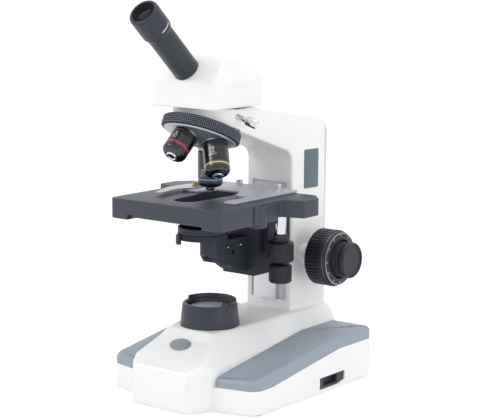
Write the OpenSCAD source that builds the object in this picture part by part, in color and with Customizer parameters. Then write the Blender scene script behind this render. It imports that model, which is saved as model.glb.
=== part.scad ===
// Monocular compound microscope.
// Heights are measured from the floor. Front means toward the user (-Y), and the
// optical axis is the line on which every optical piece is placed.

/* [Base] */
// Width of the base
base_w = 182; // [176:1:190]
// Distance from the optical axis to the back of the base
base_back = 153; // [150:1:158]
// Distance from the optical axis to the front of the nose block
base_front = 77; // [72:1:84]
// Width of the nose block at its front
nose_block_w = 72; // [64:1:76]
// Width of the central hump between the hand rests
hump_w = 94; // [90:1:98]
// Height of the deck that carries the lamp collar
deck_z = 70; // [68:1:72]
// Height of the side walls at the front
wing_front_z = 25; // [22:1:28]
// Height of the side walls at the back
wing_back_z = 40.5; // [38:0.5:44]
// Thickness of the hand rest pads
pad_t = 11.5; // [9:0.5:14]
// Height of the rubber feet
foot_h = 2; // [1.5:0.5:4]
// Radius of the rubber feet
foot_r = 8; // [6:0.5:10]
// Length of the rocker switch opening
switch_l = 44; // [40:1:48]

/* [Lamp] */
// Outer diameter of the lamp collar at its foot
collar_d = 59; // [56:1:62]
// Height of the lamp collar
collar_h = 25; // [22:1:28]
// Clear diameter of the lamp lens
lamp_lens_d = 44; // [40:1:46]

/* [Column and arm] */
// Width of the column at its back
arm_w = 69; // [66:1:72]
// Distance from the optical axis to the front face of the column
throat = 97; // [94:0.5:98]
// Width of the column at its front face
column_w = 56; // [54:1:60]
// Height of the arm at the seat of the head
arm_top_z = 286.5; // [286:0.5:287]
// Height of the arm at its back
arm_back_z = 267; // [262:1:272]
// Radius of the round nose that carries the head
nose_r = 36.5; // [35:0.5:38]
// Height of the underside of the arm at the column
throat_top_z = 234; // [230:1:238]
// Radius of the round joint that the head turns in
joint_r = 21; // [19:0.5:23]

/* [Head and eyepiece] */
// Width of the head
head_w = 83; // [80:1:86]
// Distance from the optical axis to the front of the head
head_front = 46; // [44:1:48]
// Distance from the optical axis to the back of the head
head_back = 34; // [32:1:36]
// Height of the head
head_h = 52; // [50:1:54]
// Height of the dark seam ring between the head and the arm
seam = 1.5; // [1:0.1:2]
// Inclination of the eyepiece above level
eye_angle = 42; // [40:1:45]
// Outer diameter of the eyepiece tube
tube_d = 25.5; // [25:0.5:27]
// Outer diameter of the eyepiece
eyepiece_d = 29.5; // [29:0.5:32]
// Length of the part of the eyepiece that stands out of its tube
eyepiece_l = 30; // [26:1:36]
// Distance from the head's mirror point to the end of the tube
tube_reach = 103.5; // [100:0.5:108]
// Inner diameter of the eyepiece tube
tube_bore_d = 23.2; // [23:0.1:23.4]

/* [Nosepiece] */
// Tilt of the nosepiece axis
nose_tilt = 24; // [22:1:25]
// Height of the point where all objective axes meet
apex_z = 295.7; // [295:0.1:296.5]
// Outer diameter of the grip ring
grip_d = 78.4; // [76:0.4:80]
// Height of the grip ring
grip_h = 10.8; // [10:0.2:11.2]
// Distance from the meeting point to the shoulder of each objective
shoulder = 51; // [50:0.5:52]
// Outer diameter of the objectives
objective_d = 24.6; // [23:0.2:25]
// Length of the low power objective
low_l = 28.5; // [26:0.5:31]
// Length of the medium power objective
mid_l = 35; // [33:0.5:37]
// Length of the high power objective
high_l = 40.7; // [40:0.1:41]

/* [Stage] */
// Height of the stage surface
stage_z = 198.6; // [198:0.1:199]
// Thickness of the stage
stage_t = 17; // [15:0.5:18]
// Width of the stage at its front
stage_w = 137; // [132:1:142]
// Width of the stage across its rear wings
stage_wing_w = 182; // [176:1:186]
// Distance from the optical axis to the front of the stage
stage_front = 70; // [66:1:74]
// Distance from the optical axis to the back of the stage
stage_back = 69; // [68:1:72]
// Width of the light opening
opening_w = 32; // [28:1:34]
// Thickness of the specimen holder
holder_t = 2.4; // [2:0.2:3]
// Inner width between the holder arm and the spring finger
slide_gap = 80; // [78:1:82]

/* [Focus] */
// Height of the knob axis
knob_z = 127; // [124:1:130]
// Distance from the optical axis to the knob axis
knob_y = 118.5; // [117:0.5:120]
// Diameter of the coarse knobs
coarse_d = 58; // [54:1:60]
// Diameter of the fine knobs
fine_d = 37; // [34:1:40]
// Distance from the middle to the outer face of the coarse knobs
coarse_x = 70; // [68:1:72]
// Distance from the middle to the outer face of the fine knobs
fine_x = 90; // [86:1:91]
// Module of the focus rack
gear_module = 1; // [0.9:0.05:1.1]
// Number of teeth on the focus pinion
pinion_teeth = 14; // [12:1:15]
// Travel of the carriage below its place of rest
travel_down = 16; // [10:1:18]
// Travel of the carriage above its place of rest
travel_up = 2; // [1:0.5:2]

/* [Hidden] */
$fn = 64;
fit = 0.05;      // radial gap of a running fit
gap = 0.3;       // gap between pieces that move past each other
seat = 0.1;      // radial gap of a piece held in a seat

eye_top = tube_reach + eyepiece_l;
eye_out = eye_top * cos(eye_angle) + eyepiece_d / 2 * sin(eye_angle);
optical_y = (eye_out - base_back) / 2;

hw = base_w / 2;
hump_hw = hump_w / 2;
arm_hw = arm_w / 2;
column_hw = column_w / 2;
wall = 5;
wing_front = 42;
wing_slope_y0 = -19;
wing_slope_y1 = 95;
cavity_hw = hw - 21;
plate_t = 1.5;
well_r = 24;
switch_y = 83.5;
switch_h = 11;
switch_d = 9;
inlet_x = 42;
inlet_z = 24;

mirror_z = arm_top_z + 4.2;
head_z = arm_top_z + seam;
recess_hw = column_hw - 6;
recess_d = 4;
recess_z0 = 80;
recess_z1 = 214;
rail_hw = 14;
slot_x0 = -21.5;
slot_x1 = -14.8;
pinion_r = gear_module * pinion_teeth / 2;
bush_l = 14;
joint_h = 6;
rack_y = knob_y - pinion_r;
shaft_r = 5;
inner_shaft_r = 2.6;
bush_r = 8;
hub_r = 13;
hub_x = 48.5;
coarse_x0 = 49.5;
lamp_floor_z = deck_z - 24;
face_edge_y = 6;

ring_depth = (apex_z - 264.1) / cos(nose_tilt);
grip_top = ring_depth - grip_h / 2;
face_depth = grip_top - 1;
body_r = grip_d / 2 - 3.2;
pivot_r = 6;
barrel_r = objective_d / 2;
function arm_face_z(y) = apex_z - (face_depth + y * sin(nose_tilt)) / cos(nose_tilt);

stage_hw = stage_w / 2;
wing_hw = stage_wing_w / 2;
under_z = stage_z - stage_t;
opening_r = opening_w / 2;
opening_y0 = -32;
opening_y1 = 12;
carriage_hw = 20;
carriage_y0 = 46;
carriage_y1 = throat - gap;
carriage_z0 = 113.5;
arm_r = 10;
disc_r = 24.5;
disc_y = -12;
disc_z0 = 158;
disc_t = 5.5;
disc_pin_r = 2;
lever_z = disc_z0 - 4;
condenser_r = 9.6;
housing_z0 = disc_z0 + disc_t + 0.5;

rail_y0 = 46;
rail_y1 = 66;
rail_x0 = -38;
rail_x1 = 52;
rail_z0 = stage_z - 5;
y_back_travel = 12;
y_front_travel = 14;
pocket_y0 = rail_y0 - y_front_travel - 1;
key_x0 = -16;
key_x1 = 30;
coax_x = 47;
coax_y = 53;
coax_r = 4.8;
coax_slot_r = coax_r + 1.2;
y_knob_z = 130.5;
y_knob_h = 18.5;
y_knob_r = 12.2;
x_knob_z = 110;
x_knob_h = 17;
x_knob_r = 10.6;
sleeve_z0 = y_knob_z + y_knob_h + 0.4;
holder_z0 = stage_z + gap;
holder_arm_x = slide_gap / 2 + 2.7;
screw_y = 59.5;
screw_x = [-10, 38];
finger_x = -36;
finger_y = 22;

// Helpers

function unit(v) = v / norm(v);

// Points of the arc that rounds the corner at p, between neighbours a and b
function corner(a, p, b, r, n) =
  r <= 0 ? [p] :
  let (
    u = unit(a - p),
    v = unit(b - p),
    half = acos(u * v) / 2,
    c = p + unit(u + v) * r / sin(half),
    s = p + u * r / tan(half) - c,
    e = p + v * r / tan(half) - c,
    a0 = atan2(s[1], s[0]),
    d = atan2(e[1], e[0]) - a0,
    turn = d > 180 ? d - 360 : d < -180 ? d + 360 : d
  )
  [for (i = [0:n]) c + r * [cos(a0 + turn * i / n), sin(a0 + turn * i / n)]];

// Outline from corners given as [x, y, rounding radius]
function rounded(pts, n = 6) =
  let (k = len(pts), xy = [for (p = pts) [p[0], p[1]]])
  [for (i = [0:k - 1]) each corner(xy[(i + k - 1) % k], xy[i], xy[(i + 1) % k], pts[i][2], n)];

// Same outline with its mirror image across x = 0 joined on
function both_sides(pts) =
  concat(pts, [for (i = [len(pts) - 1:-1:0]) [-pts[i][0], pts[i][1], pts[i][2]]]);

module optical() translate([0, optical_y, 0]) children();
module at(y, z) translate([0, optical_y + y, z]) children();

// Extrudes an outline drawn in y and z from x0 to x1
module along_x(x0, x1) translate([x0, 0, 0]) rotate([90, 0, 90]) linear_extrude(x1 - x0) children();

// Extrudes an outline drawn in x and z from y0 to y1
module along_y(y0, y1) translate([0, y1, 0]) rotate([90, 0, 0]) linear_extrude(y1 - y0) children();

module tube(r_out, r_in, h) difference() {
  cylinder(r = r_out, h = h);
  translate([0, 0, -1]) cylinder(r = r_in, h = h + 2);
}

module slot(r, y0, y1, z0, z1) translate([0, 0, z0]) {
  translate([0, y0, 0]) cylinder(r = r, h = z1 - z0);
  translate([0, y1, 0]) cylinder(r = r, h = z1 - z0);
  translate([-r, y0, 0]) cube([2 * r, y1 - y0, z1 - z0]);
}

module on_sides(x) {
  translate([x, 0, 0]) children();
  translate([-x, 0, 0]) children();
}

// Frames of the tilted optical pieces

module eye_frame() at(0, mirror_z) rotate([90 - eye_angle, 0, 0]) children();
module turret_frame() at(0, apex_z) rotate([-nose_tilt, 0, 0]) mirror([0, 0, 1]) children();
module objective_frame(turn) at(0, apex_z) rotate([-nose_tilt, 0, 0]) rotate([0, 0, turn])
  rotate([nose_tilt, 0, 0]) mirror([0, 0, 1]) children();

low_turn = 180;
mid_turn = -90;
high_turn = 0;
plug_turn = 90;

// Base

module wing_outline() polygon(rounded(both_sides([
  [hw, base_back, 6], [hw, -wing_front, 10], [hump_hw, -wing_front - 11, 0]])));

module wing_heights() polygon([
  [-base_front, foot_h], [-base_front, wing_front_z], [wing_slope_y0, wing_front_z],
  [wing_slope_y1, wing_back_z], [base_back + 1, wing_back_z], [base_back + 1, foot_h]]);

module hump_outline() polygon(rounded(both_sides([
  [hump_hw, base_back, 4], [hump_hw, -30, 6], [nose_block_w / 2, -base_front, 10]])));

module hump_heights() polygon(rounded([
  [base_back + 1, foot_h, 0], [base_back + 1, deck_z, 0], [-30, deck_z, 3], [-38, deck_z - 8, 10],
  [-base_front, deck_z - 30, 7], [-base_front - 1, foot_h, 0]]));

module hump_section() polygon(rounded(both_sides([
  [arm_hw, deck_z, 2], [hump_hw - 4, deck_z - 9, 6], [hump_hw, deck_z - 20, 4], [hump_hw, foot_h, 0]])));

module switch_opening(grow) optical() along_x(hw - switch_d, hw + 1)
  polygon(rounded([
    [switch_y - switch_l / 2 - grow, foot_h + 3.5 - grow, 1],
    [switch_y + switch_l / 2 - 12, foot_h + 3.5 - grow, 4],
    [switch_y + switch_l / 2 + grow, foot_h + 6, 1.5],
    [switch_y + switch_l / 2 + grow, foot_h + 3.5 + switch_h + grow, 1],
    [switch_y - switch_l / 2 - grow, foot_h + 3.5 + switch_h + grow, 1]]));

module inlet_opening(grow) optical() translate([inlet_x, base_back + 1, inlet_z])
  rotate([90, 0, 0]) cylinder(r = 6 + grow, h = 18);

module base_housing() color("whitesmoke") difference() {
  optical() union() {
    intersection() {
      translate([0, 0, foot_h]) linear_extrude(deck_z) wing_outline();
      along_x(-hw, hw) wing_heights();
    }
    intersection() {
      translate([0, 0, foot_h]) linear_extrude(deck_z) hump_outline();
      along_x(-hw, hw) hump_heights();
      along_y(-base_front - 1, base_back) hump_section();
    }
  }
  optical() {
    translate([-cavity_hw, -wing_front + 12, foot_h - 1])
      cube([2 * cavity_hw, base_back + wing_front - 24, wing_front_z - foot_h - wall + 1]);
    translate([-hump_hw + 12, -wing_front + 12, foot_h - 1])
      cube([hump_w - 24, base_back + wing_front - 24, lamp_floor_z - foot_h - 9]);
    translate([0, 0, foot_h]) cylinder(r = well_r - 4, h = deck_z);
    translate([0, 0, lamp_floor_z]) cylinder(r = well_r, h = deck_z);
    for (x = [-1, 1], y = [0.3, 0.9])
      translate([x * (cavity_hw + 9), y * base_back - 60, foot_h - 1]) cylinder(r = 1.5, h = 13);
  }
  switch_opening(0);
  inlet_opening(0);
  on_slope() linear_extrude(9) badge_outline(seat);
}

module base_plate() color("dimgray") optical() difference() {
  translate([-cavity_hw + seat, -wing_front + 12 + seat, foot_h])
    cube([2 * (cavity_hw - seat), base_back + wing_front - 24 - 2 * seat, plate_t]);
  for (i = [0:6])
    translate([-30, 10 + i * 12, foot_h - 1]) cube([60, 4, plate_t + 2]);
}

module rubber_feet() color("#303238") optical()
  for (y = [-wing_front + foot_r + 4, base_back - foot_r - 4]) on_sides(hw - foot_r - 3)
    translate([0, y, 0]) rotate_extrude() polygon(rounded([
      [0, 0, 0], [foot_r - 0.6, 0, 0], [foot_r, 0.8, 0], [foot_r, foot_h, 0], [0, foot_h, 0]]));

module base_screws() color("silver") optical()
  for (x = [-1, 1], y = [0.3, 0.9]) translate([x * (cavity_hw + 9), y * base_back - 60, foot_h - 1.2]) {
    cylinder(r = 3, h = 1.2);
    cylinder(r = 1.4, h = 10);
  }

// A hand rest: a soft bar that follows the sloping top of one side
module pad(side) difference() {
  optical() intersection() {
    hull() {
      for (y = [-wing_front + 3, wing_slope_y0 + 10])
        pad_balls(y, wing_front_z + pad_t - 2.5 + 0.136 * (y + 40));
      for (y = [wing_slope_y1 - 2, base_back - 7]) pad_balls(y, wing_back_z + pad_t);
    }
    translate([hump_hw + seat, -base_front, 0]) cube([hw, base_back + base_front, 200]);
    linear_extrude(200) wing_outline();
  }
  optical() along_x(0, hw + 2) wing_heights();
}

pad_round = 5;
module pad_balls(y, z) for (x = [hump_hw - 4, hw - pad_round]) {
  translate([x, y, z - pad_round + 1]) sphere(r = pad_round, $fn = 24);
  translate([x, y - 6, wing_front_z - 8]) cylinder(r = pad_round, h = 4, $fn = 24);
  translate([x, min(y + 6, base_back - pad_round), wing_front_z - 8]) cylinder(r = pad_round, h = 4, $fn = 24);
}

module pad_right() color("#7d8895") pad();
module pad_left() color("#7d8895") mirror([1, 0, 0]) pad();

// Plane of the sloping front face between its lower edge and the foot of the collar
slope_angle = atan2(22, base_front - 38);
badge_y = -45.5;
badge_z = deck_z - 8 + (badge_y + 38) * tan(slope_angle);
module badge_outline(grow) polygon([for (i = [0:35]) [(12 + grow) * cos(i * 10), (8.2 + grow) * sin(i * 10)]]);
module on_slope() at(badge_y, badge_z) rotate([slope_angle, 0, 0]) children();
module front_badge() color("#8a8f9a") on_slope() linear_extrude(0.8) badge_outline(0);

module switch_frame() color("#2e3036") difference() {
  switch_opening(-seat);
  optical() translate([hw - 1.5, 0, 0]) cube([9, 300, 60]);
  optical() translate([hw - switch_d - 1, switch_y - switch_l / 2 + 8, foot_h + 5])
    cube([12, switch_l - 20, switch_h - 3]);
  rocker_axis() translate([0, 0, -rocker_pin]) cylinder(r = 1.1 + fit, h = switch_h - 3 + 2 * rocker_pin);
}

// The rocker tips about an upright line in the middle of its frame, and rests tipped one way
rocker_half = switch_l / 2 - 11;
rocker_tip = 5;
rocker_pin = 1;
module rocker_axis() optical() translate([hw - 4, switch_y - 2, foot_h + 5]) children();
module power_rocker() color("#3a3d46") rocker_axis() rotate([0, 0, -rocker_tip]) {
  translate([0, 0, gap]) linear_extrude(switch_h - 3 - 2 * gap) polygon([
    [-3, -rocker_half], [1.8, -rocker_half], [3.2, 0], [1.8, rocker_half], [-3, rocker_half]]);
  translate([0, 0, 0.3 - rocker_pin]) cylinder(r = 1.1, h = switch_h - 3 + 2 * rocker_pin - 0.6);
}

module power_inlet() color("#26282d") difference() {
  intersection() {
    inlet_opening(-seat);
    optical() translate([0, base_back - 13, 0]) cube([200, 13, 100]);
  }
  optical() translate([inlet_x, base_back + 1, inlet_z]) rotate([90, 0, 0]) tube(3.2, 1.1, 10);
}

// Lamp

// Lamp board on its finned cooler
module lamp_module() color("#c9cdd2") at(0, lamp_floor_z) {
  cylinder(r = well_r - seat, h = 5);
  translate([-4, -4, 5]) cube([8, 8, 1.6]);
  for (i = [0:7]) rotate([0, 0, i * 45]) translate([4, -0.8, -14]) cube([14, 1.6, 14]);
}

lens_seat_z = 8;
module lamp_lens() color("#dfe8ee") at(0, deck_z + lens_seat_z) rotate_extrude() polygon(concat(
  [[0, 0], [lamp_lens_d / 2 - seat, 0], [lamp_lens_d / 2 - seat, 3]],
  [for (i = [0:10]) [(lamp_lens_d / 2 - 3) * (1 - i / 10), 3 + 3.2 * sin(i * 9)]]));

collar_top = collar_h - 2.6;
module lamp_collar() color("#34363f") at(0, deck_z) {
  rotate_extrude() polygon(rounded([
    [collar_d / 2, 0, 0], [collar_d / 2 - 2.6, collar_top, 1.2], [collar_d / 2 - 6.5, collar_top, 1.2],
    [lamp_lens_d / 2 - 1.5, lens_seat_z + 8, 0], [lamp_lens_d / 2, lens_seat_z + 5.4, 0],
    [lamp_lens_d / 2, lens_seat_z, 0], [lamp_lens_d / 2 - 3, lens_seat_z, 0], [lamp_lens_d / 2 - 1, 0, 0]], 4));
  rim_arc(-10, 190);
  rim_arc(205, 250);
}

// Raised rim over part of the collar's turn, measured from +X
module rim_arc(a0, a1) translate([0, 0, collar_top]) rotate([0, 0, a0]) rotate_extrude(angle = a1 - a0)
  polygon([[collar_d / 2 - 6, -0.5], [collar_d / 2 - 3.2, -0.5], [collar_d / 2 - 3.6, 3.4], [collar_d / 2 - 5.6, 3.4]]);

// Column and arm

module arm_profile() polygon(rounded([
  [throat, deck_z, 0], [throat, throat_top_z, 12],
  [face_edge_y, arm_face_z(face_edge_y), 0], [-nose_r - 1, arm_face_z(-nose_r - 1), 0],
  [-nose_r - 1, arm_top_z, 0], [24, arm_top_z, 6], [base_back - 2, arm_back_z, 18], [base_back, deck_z, 0]]));

module arm_plan() {
  polygon(rounded(both_sides([[arm_hw, base_back, 6], [column_hw, throat, 120], [nose_r, 0, 0]])));
  circle(r = nose_r);
}

module column_plan() polygon(rounded([
  [column_hw, throat, 5], [arm_hw + 1, base_back + 1, 0], [-arm_hw - 1, base_back + 1, 0], [-column_hw, throat, 5]]));

module arm_casting() color("white") difference() {
  union() {
    optical() intersection() {
      along_x(-nose_r, nose_r) arm_profile();
      linear_extrude(400) arm_plan();
      union() {
        linear_extrude(400) column_plan();
        translate([-60, -60, throat_top_z - 12]) cube([120, 300, 200]);
      }
    }
    optical() translate([0, knob_y, knob_z]) rotate([0, 90, 0]) translate([0, 0, -hub_x]) cylinder(r = hub_r, h = 2 * hub_x);
  }
  optical() {
    translate([-recess_hw, throat - 1, recess_z0]) cube([2 * recess_hw, recess_d + 1, recess_z1 - recess_z0]);
    translate([slot_x0, throat, recess_z0 + 2]) cube([slot_x1 - slot_x0, 40, recess_z1 - recess_z0 - 4]);
    translate([-hub_x - 1, knob_y, knob_z]) rotate([0, 90, 0]) cylinder(r = bush_r, h = 2 * hub_x + 2);
    translate([-hub_x + bush_l, knob_y, knob_z]) rotate([0, 90, 0])
      cylinder(r = pinion_r + gear_module + 1, h = 2 * (hub_x - bush_l));
    translate([0, 0, deck_z + 100]) cylinder(r = 11, h = 200);
    translate([0, 0, arm_top_z - joint_h - gap]) cylinder(r = joint_r + gap, h = 20);
  }
  lock_frame() translate([0, 0, -lock_tip - 1]) cylinder(r = 2.6, h = 40);
  turret_frame() translate([0, 0, face_depth - 12]) cylinder(r = 3, h = 30);
}

// Plain plate on the right flank, which widens towards the back
label_y = 115.5;
label_z = 195.2;
label_w = 21.5;
label_h = 40;
flank_angle = atan2(arm_hw - column_hw, base_back - throat);
module side_label() color("#5f6f78") optical()
  translate([column_hw, throat, label_z]) rotate([0, 0, -flank_angle])
    translate([0, (label_y - throat) / cos(flank_angle), 0]) cube([0.5, label_w, label_h]);

module front_cover() color("#d9dbde") optical() difference() {
  translate([-recess_hw + seat, throat + recess_d - 2, recess_z0 + seat])
    cube([2 * (recess_hw - seat), 2, recess_z1 - recess_z0 - 2 * seat]);
  translate([-recess_hw - 1, throat, recess_z0 - 1]) cube([rail_hw + recess_hw + 1.2, 6, rail_top_z - recess_z0 + 1.2]);
}

rail_top_z = under_z + travel_up + 2;
module rail_section(grow) polygon([
  [-rail_hw + 3 - grow, throat + recess_d], [-rail_hw + 3 - grow, throat - 1],
  [-rail_hw - grow, throat - 7 - grow], [rail_hw + grow, throat - 7 - grow],
  [rail_hw - 3 + grow, throat - 1], [rail_hw - 3 + grow, throat + recess_d]]);

module guide_rail() color("#b9bdc2") optical() translate([0, 0, recess_z0 + 1])
  linear_extrude(rail_top_z - recess_z0 - 1) rail_section(0);

module shaft_bushes() color("#b08d4a") optical() translate([0, knob_y, knob_z])
  for (s = [-1, 1]) rotate([0, s * 90, 0]) translate([0, 0, hub_x - bush_l]) tube(bush_r - seat, shaft_r + fit, bush_l + 0.4);

// Head

module head_housing() color("white") difference() {
  optical() intersection() {
    translate([0, 0, head_z]) linear_extrude(head_h + 2) polygon(rounded(both_sides([
      [head_w / 2, head_back, 8], [head_w / 2, -head_front, 9]])));
    along_x(-head_w, head_w) polygon(rounded([
      [-head_front, head_z, 0], [-head_front, head_z + 25.5, 9],
      [-head_front + (head_h - 24) * tan(eye_angle), head_z + head_h + 1.5, 9],
      [18, head_z + 34, 26], [head_back, head_z + 21, 9], [head_back, head_z, 0]]));
    along_y(-head_front, head_back) polygon(rounded(both_sides([
      [head_w / 2 - 5, head_z + head_h + 2, 9], [head_w / 2, head_z + 24, 14], [head_w / 2, head_z, 0]])));
  }
  at(0, head_z - 1) translate([-11.5, -13, 0]) cube([23, 26, 24]);
  eye_frame() translate([0, 0, 12]) cylinder(r = 11, h = 60);
  eye_frame() translate([0, 0, tube_seat]) cylinder(r = tube_d / 2, h = 60);
}

tube_seat = 36;

// Seam ring with the round joint that turns in the arm
module head_flange() color("#26282d") at(0, 0) difference() {
  union() {
    translate([0, 0, arm_top_z + gap]) cylinder(r = nose_r - gap, h = seam - gap);
    translate([0, 0, arm_top_z - joint_h]) rotate_extrude() polygon([
      [0, 0], [joint_r, 0], [joint_r, 1.5], [joint_r - 1.5, 3.5], [joint_r - 1.5, joint_h + 0.5], [0, joint_h + 0.5]]);
  }
  translate([0, 0, arm_top_z - joint_h - 1]) cylinder(r = 9, h = 20);
}

module head_prism() color("#cfe0ea") at(-10, head_z) along_x(-10, 10)
  polygon([[0, 0], [21, 0], [21, 3], [4, 20], [0, 20]]);

module eye_tube() color("#3a3d48") eye_frame() translate([0, 0, tube_seat + seat]) difference() {
  tube(tube_d / 2 - fit, tube_bore_d / 2, tube_reach - tube_seat - seat);
  translate([0, 0, tube_reach - tube_seat - 1]) rotate_extrude() polygon([
    [tube_bore_d / 2 - 1, 1.2], [tube_bore_d / 2 + 0.9, 1.2], [tube_bore_d / 2 - 0.1, -0.4], [tube_bore_d / 2 - 1, -0.4]]);
}

// The lock screw enters the side of the arm, a little down from level
lock_z = arm_top_z - 7.5;
lock_y = -4;
lock_dip = 16;
lock_l = 26;
lock_grip_l = 14;
lock_r = 5;
lock_tip = 13;
module lock_frame() at(lock_y, lock_z) translate([nose_r, 0, 0]) rotate([0, 90 + lock_dip, 0]) children();
module head_lock_screw() color("silver") lock_frame() {
  translate([0, 0, -lock_tip]) cylinder(r = 2.5, h = lock_tip + lock_l - lock_grip_l);
  translate([0, 0, lock_l - lock_grip_l]) rotate_extrude() polygon(rounded([
    [0, 0, 0], [lock_r - 1.6, 0, 0], [lock_r, 1.2, 0.4], [lock_r, lock_grip_l, 0.8],
    [lock_r - 1.2, lock_grip_l, 0], [lock_r - 1.6, lock_grip_l - 0.6, 0], [0, lock_grip_l - 0.6, 0]], 3));
}

// Eyepiece

module eyepiece_body() color("#34363f") eye_frame() translate([0, 0, tube_reach]) {
  difference() {
    union() {
      translate([0, 0, 0.2]) rotate_extrude() polygon(rounded([
        [0, 0, 0], [eyepiece_d / 2 - 0.6, 0, 0], [eyepiece_d / 2, 0.6, 0], [eyepiece_d / 2, eyepiece_l - 1.2, 1],
        [eyepiece_d / 2 - 1, eyepiece_l - 0.2, 0.3], [0, eyepiece_l - 0.2, 0]], 3));
      translate([0, 0, -34]) cylinder(r = tube_bore_d / 2 - fit, h = 36);
    }
    translate([0, 0, -35]) cylinder(r = 9.5, h = 58);
    translate([0, 0, 20]) cylinder(r = 6.5, h = 20);
    translate([0, 0, eyepiece_l - 3]) rotate_extrude() polygon([[0, 0], [8, 0], [12, 4], [0, 4]]);
  }
}

module lens(r, edge, bulge) rotate_extrude() polygon(concat(
  [[0, -bulge]], [for (i = [1:8]) [r * i / 8, -bulge * cos(i * 90 / 8)]],
  [[r, edge]], [for (i = [7:-1:0]) [r * i / 8, edge + bulge * cos(i * 90 / 8)]]));

module eyepiece_lenses() color("#bcd3e6") eye_frame() {
  translate([0, 0, tube_reach + eyepiece_l - 7]) lens(6.5 - seat, 3, 0.8);
  translate([0, 0, tube_reach - 30]) lens(9.5 - seat, 3, 1.5);
}

// Nosepiece: in its frame, depth runs down from the meeting point of the axes

module nosepiece_base() color("#a9adb3") difference() {
  turret_frame() {
    translate([0, 0, face_depth]) cylinder(r = body_r - 3, h = 3);
    translate([0, 0, face_depth]) cylinder(r = pivot_r, h = hub_depth - face_depth);
  }
  turret_frame() translate([0, 0, hub_depth]) cube([3 * pivot_r, 1.6, 4], center = true);
  at(0, apex_z - 100) cylinder(r = port_r - 0.5, h = 200);
}

port_r = 7;
socket_r = 12.4;
thread_r = 10;
function cone_depth(r) = (shoulder - r * sin(nose_tilt)) / cos(nose_tilt);
turret_top = face_depth + 3 + gap;
grip_bottom = grip_top + grip_h;
hub_depth = cone_depth(12);

module turret_shape() rotate_extrude() polygon([
  [0, turret_top], [body_r, turret_top], [body_r, grip_bottom], [body_r - 1, grip_bottom + 1.4],
  [24, cone_depth(22)], [12, cone_depth(12) - 1], [0, cone_depth(12) - 1]]);

module nosepiece_turret() color("#6f747c") difference() {
  union() {
    turret_frame() turret_shape();
    for (turn = [low_turn, mid_turn, high_turn, plug_turn])
      objective_frame(turn) translate([0, 0, shoulder - 12]) cylinder(r = socket_r, h = 12);
  }
  turret_frame() {
    translate([0, 0, turret_top - 20]) cylinder(r = body_r, h = 20);
    cylinder(r = pivot_r + fit, h = 100);
  }
  for (turn = [low_turn, mid_turn, high_turn, plug_turn]) objective_frame(turn) {
    translate([0, 0, 10]) cylinder(r = port_r, h = shoulder);
    translate([0, 0, shoulder - 8]) cylinder(r = thread_r, h = 20);
    translate([0, 0, shoulder]) cylinder(r = socket_r, h = 20);
  }
}

grip_teeth = 60;
module nosepiece_grip() color("#3c3f4b") turret_frame() translate([0, 0, grip_top]) difference() {
  rotate_extrude() polygon(rounded([
    [body_r + seat, 0, 0], [grip_d / 2 - 1.6, 0, 0.6], [grip_d / 2, 1.4, 0.8], [grip_d / 2, grip_h - 1.4, 0.8],
    [grip_d / 2 - 1.6, grip_h, 0.6], [body_r + seat, grip_h, 0]], 3), $fn = 96);
  for (i = [0:grip_teeth - 1]) rotate([0, 0, i * 360 / grip_teeth])
    translate([grip_d / 2 - 0.5, -0.5, 1.6]) cube([2, 1, grip_h - 3.2]);
}

module port_plug() color("#2c2e33") objective_frame(plug_turn) {
  translate([0, 0, shoulder - 5]) cylinder(r = thread_r - seat, h = 6);
  translate([0, 0, shoulder]) cylinder(r = socket_r - 0.6, h = 2.5);
}

// Outline of an objective from its shoulder down: chrome flange, barrel, groove, nose
module objective_shape(len, tip_r, nose_l, band_at) rotate_extrude() polygon([
  [3.2, -4.5], [thread_r - seat, -4.5], [thread_r - seat, 0], [socket_r - 0.8, 0], [socket_r - 0.8, 2.6],
  [barrel_r - 1.2, 2.6], [barrel_r, 4],
  [barrel_r, band_at - seat], [barrel_r - 0.8, band_at - seat], [barrel_r - 0.8, band_at + band_h + seat],
  [barrel_r, band_at + band_h + seat], [barrel_r, len - nose_l - 1.5], [barrel_r - 0.8, len - nose_l],
  [tip_r + 1.5, len - 1.4], [tip_r, len], [3.2, len]]);

band_h = 1.8;
low_band = 15.5;
mid_band = 23;
high_band = 29.5;
module objective_low() color("#26272d") objective_frame(low_turn) translate([0, 0, shoulder])
  objective_shape(low_l, 6.4, 5.5, low_band);
module objective_mid() color("#26272d") objective_frame(mid_turn) translate([0, 0, shoulder])
  objective_shape(mid_l, 6, 6, mid_band);
module objective_high() color("#26272d") objective_frame(high_turn) translate([0, 0, shoulder]) difference() {
  objective_shape(high_l - 2.4, 5.4, 4.4, high_band);
  translate([0, 0, high_l - 9]) cylinder(r = 4.7 + fit, h = 20);
}

// Sprung nose of the high power objective
module objective_high_nose() color("silver") objective_frame(high_turn) translate([0, 0, shoulder]) difference() {
  rotate_extrude() polygon([
    [0, high_l - 6.8], [4.7, high_l - 6.8], [4.7, high_l - 1.6], [3.4, high_l], [0, high_l]]);
  translate([0, 0, high_l - 1]) cylinder(r = 1.6, h = 2);
}

module band(turn, place) objective_frame(turn) translate([0, 0, shoulder + place])
  tube(barrel_r, barrel_r - 0.7, band_h);
module band_low() color("#b03045") band(low_turn, low_band);
module band_mid() color("#c9c35a") band(mid_turn, mid_band);
module band_high() color("#3f7fb0") band(high_turn, high_band);

module front_lenses() color("#bcd3e6") for (p = [[low_turn, low_l], [mid_turn, mid_l]])
  objective_frame(p[0]) translate([0, 0, shoulder + p[1] - 3]) lens(3.2 - seat, 1.2, 0.4);

// Focus drive

module on_knob_axis() at(knob_y, knob_z) rotate([0, 90, 0]) children();

module coarse_shaft() color("silver") on_knob_axis() translate([0, 0, -coarse_x0 - 6])
  tube(shaft_r, inner_shaft_r + fit, 2 * coarse_x0 + 12);

// One tooth flank point at height h above the pitch line, for a rack or a pinion
pressure = 20;
tooth_play = 0.25;
function half_tooth(h) = gear_module * PI / 4 - tooth_play / 2 - h * tan(pressure);

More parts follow.
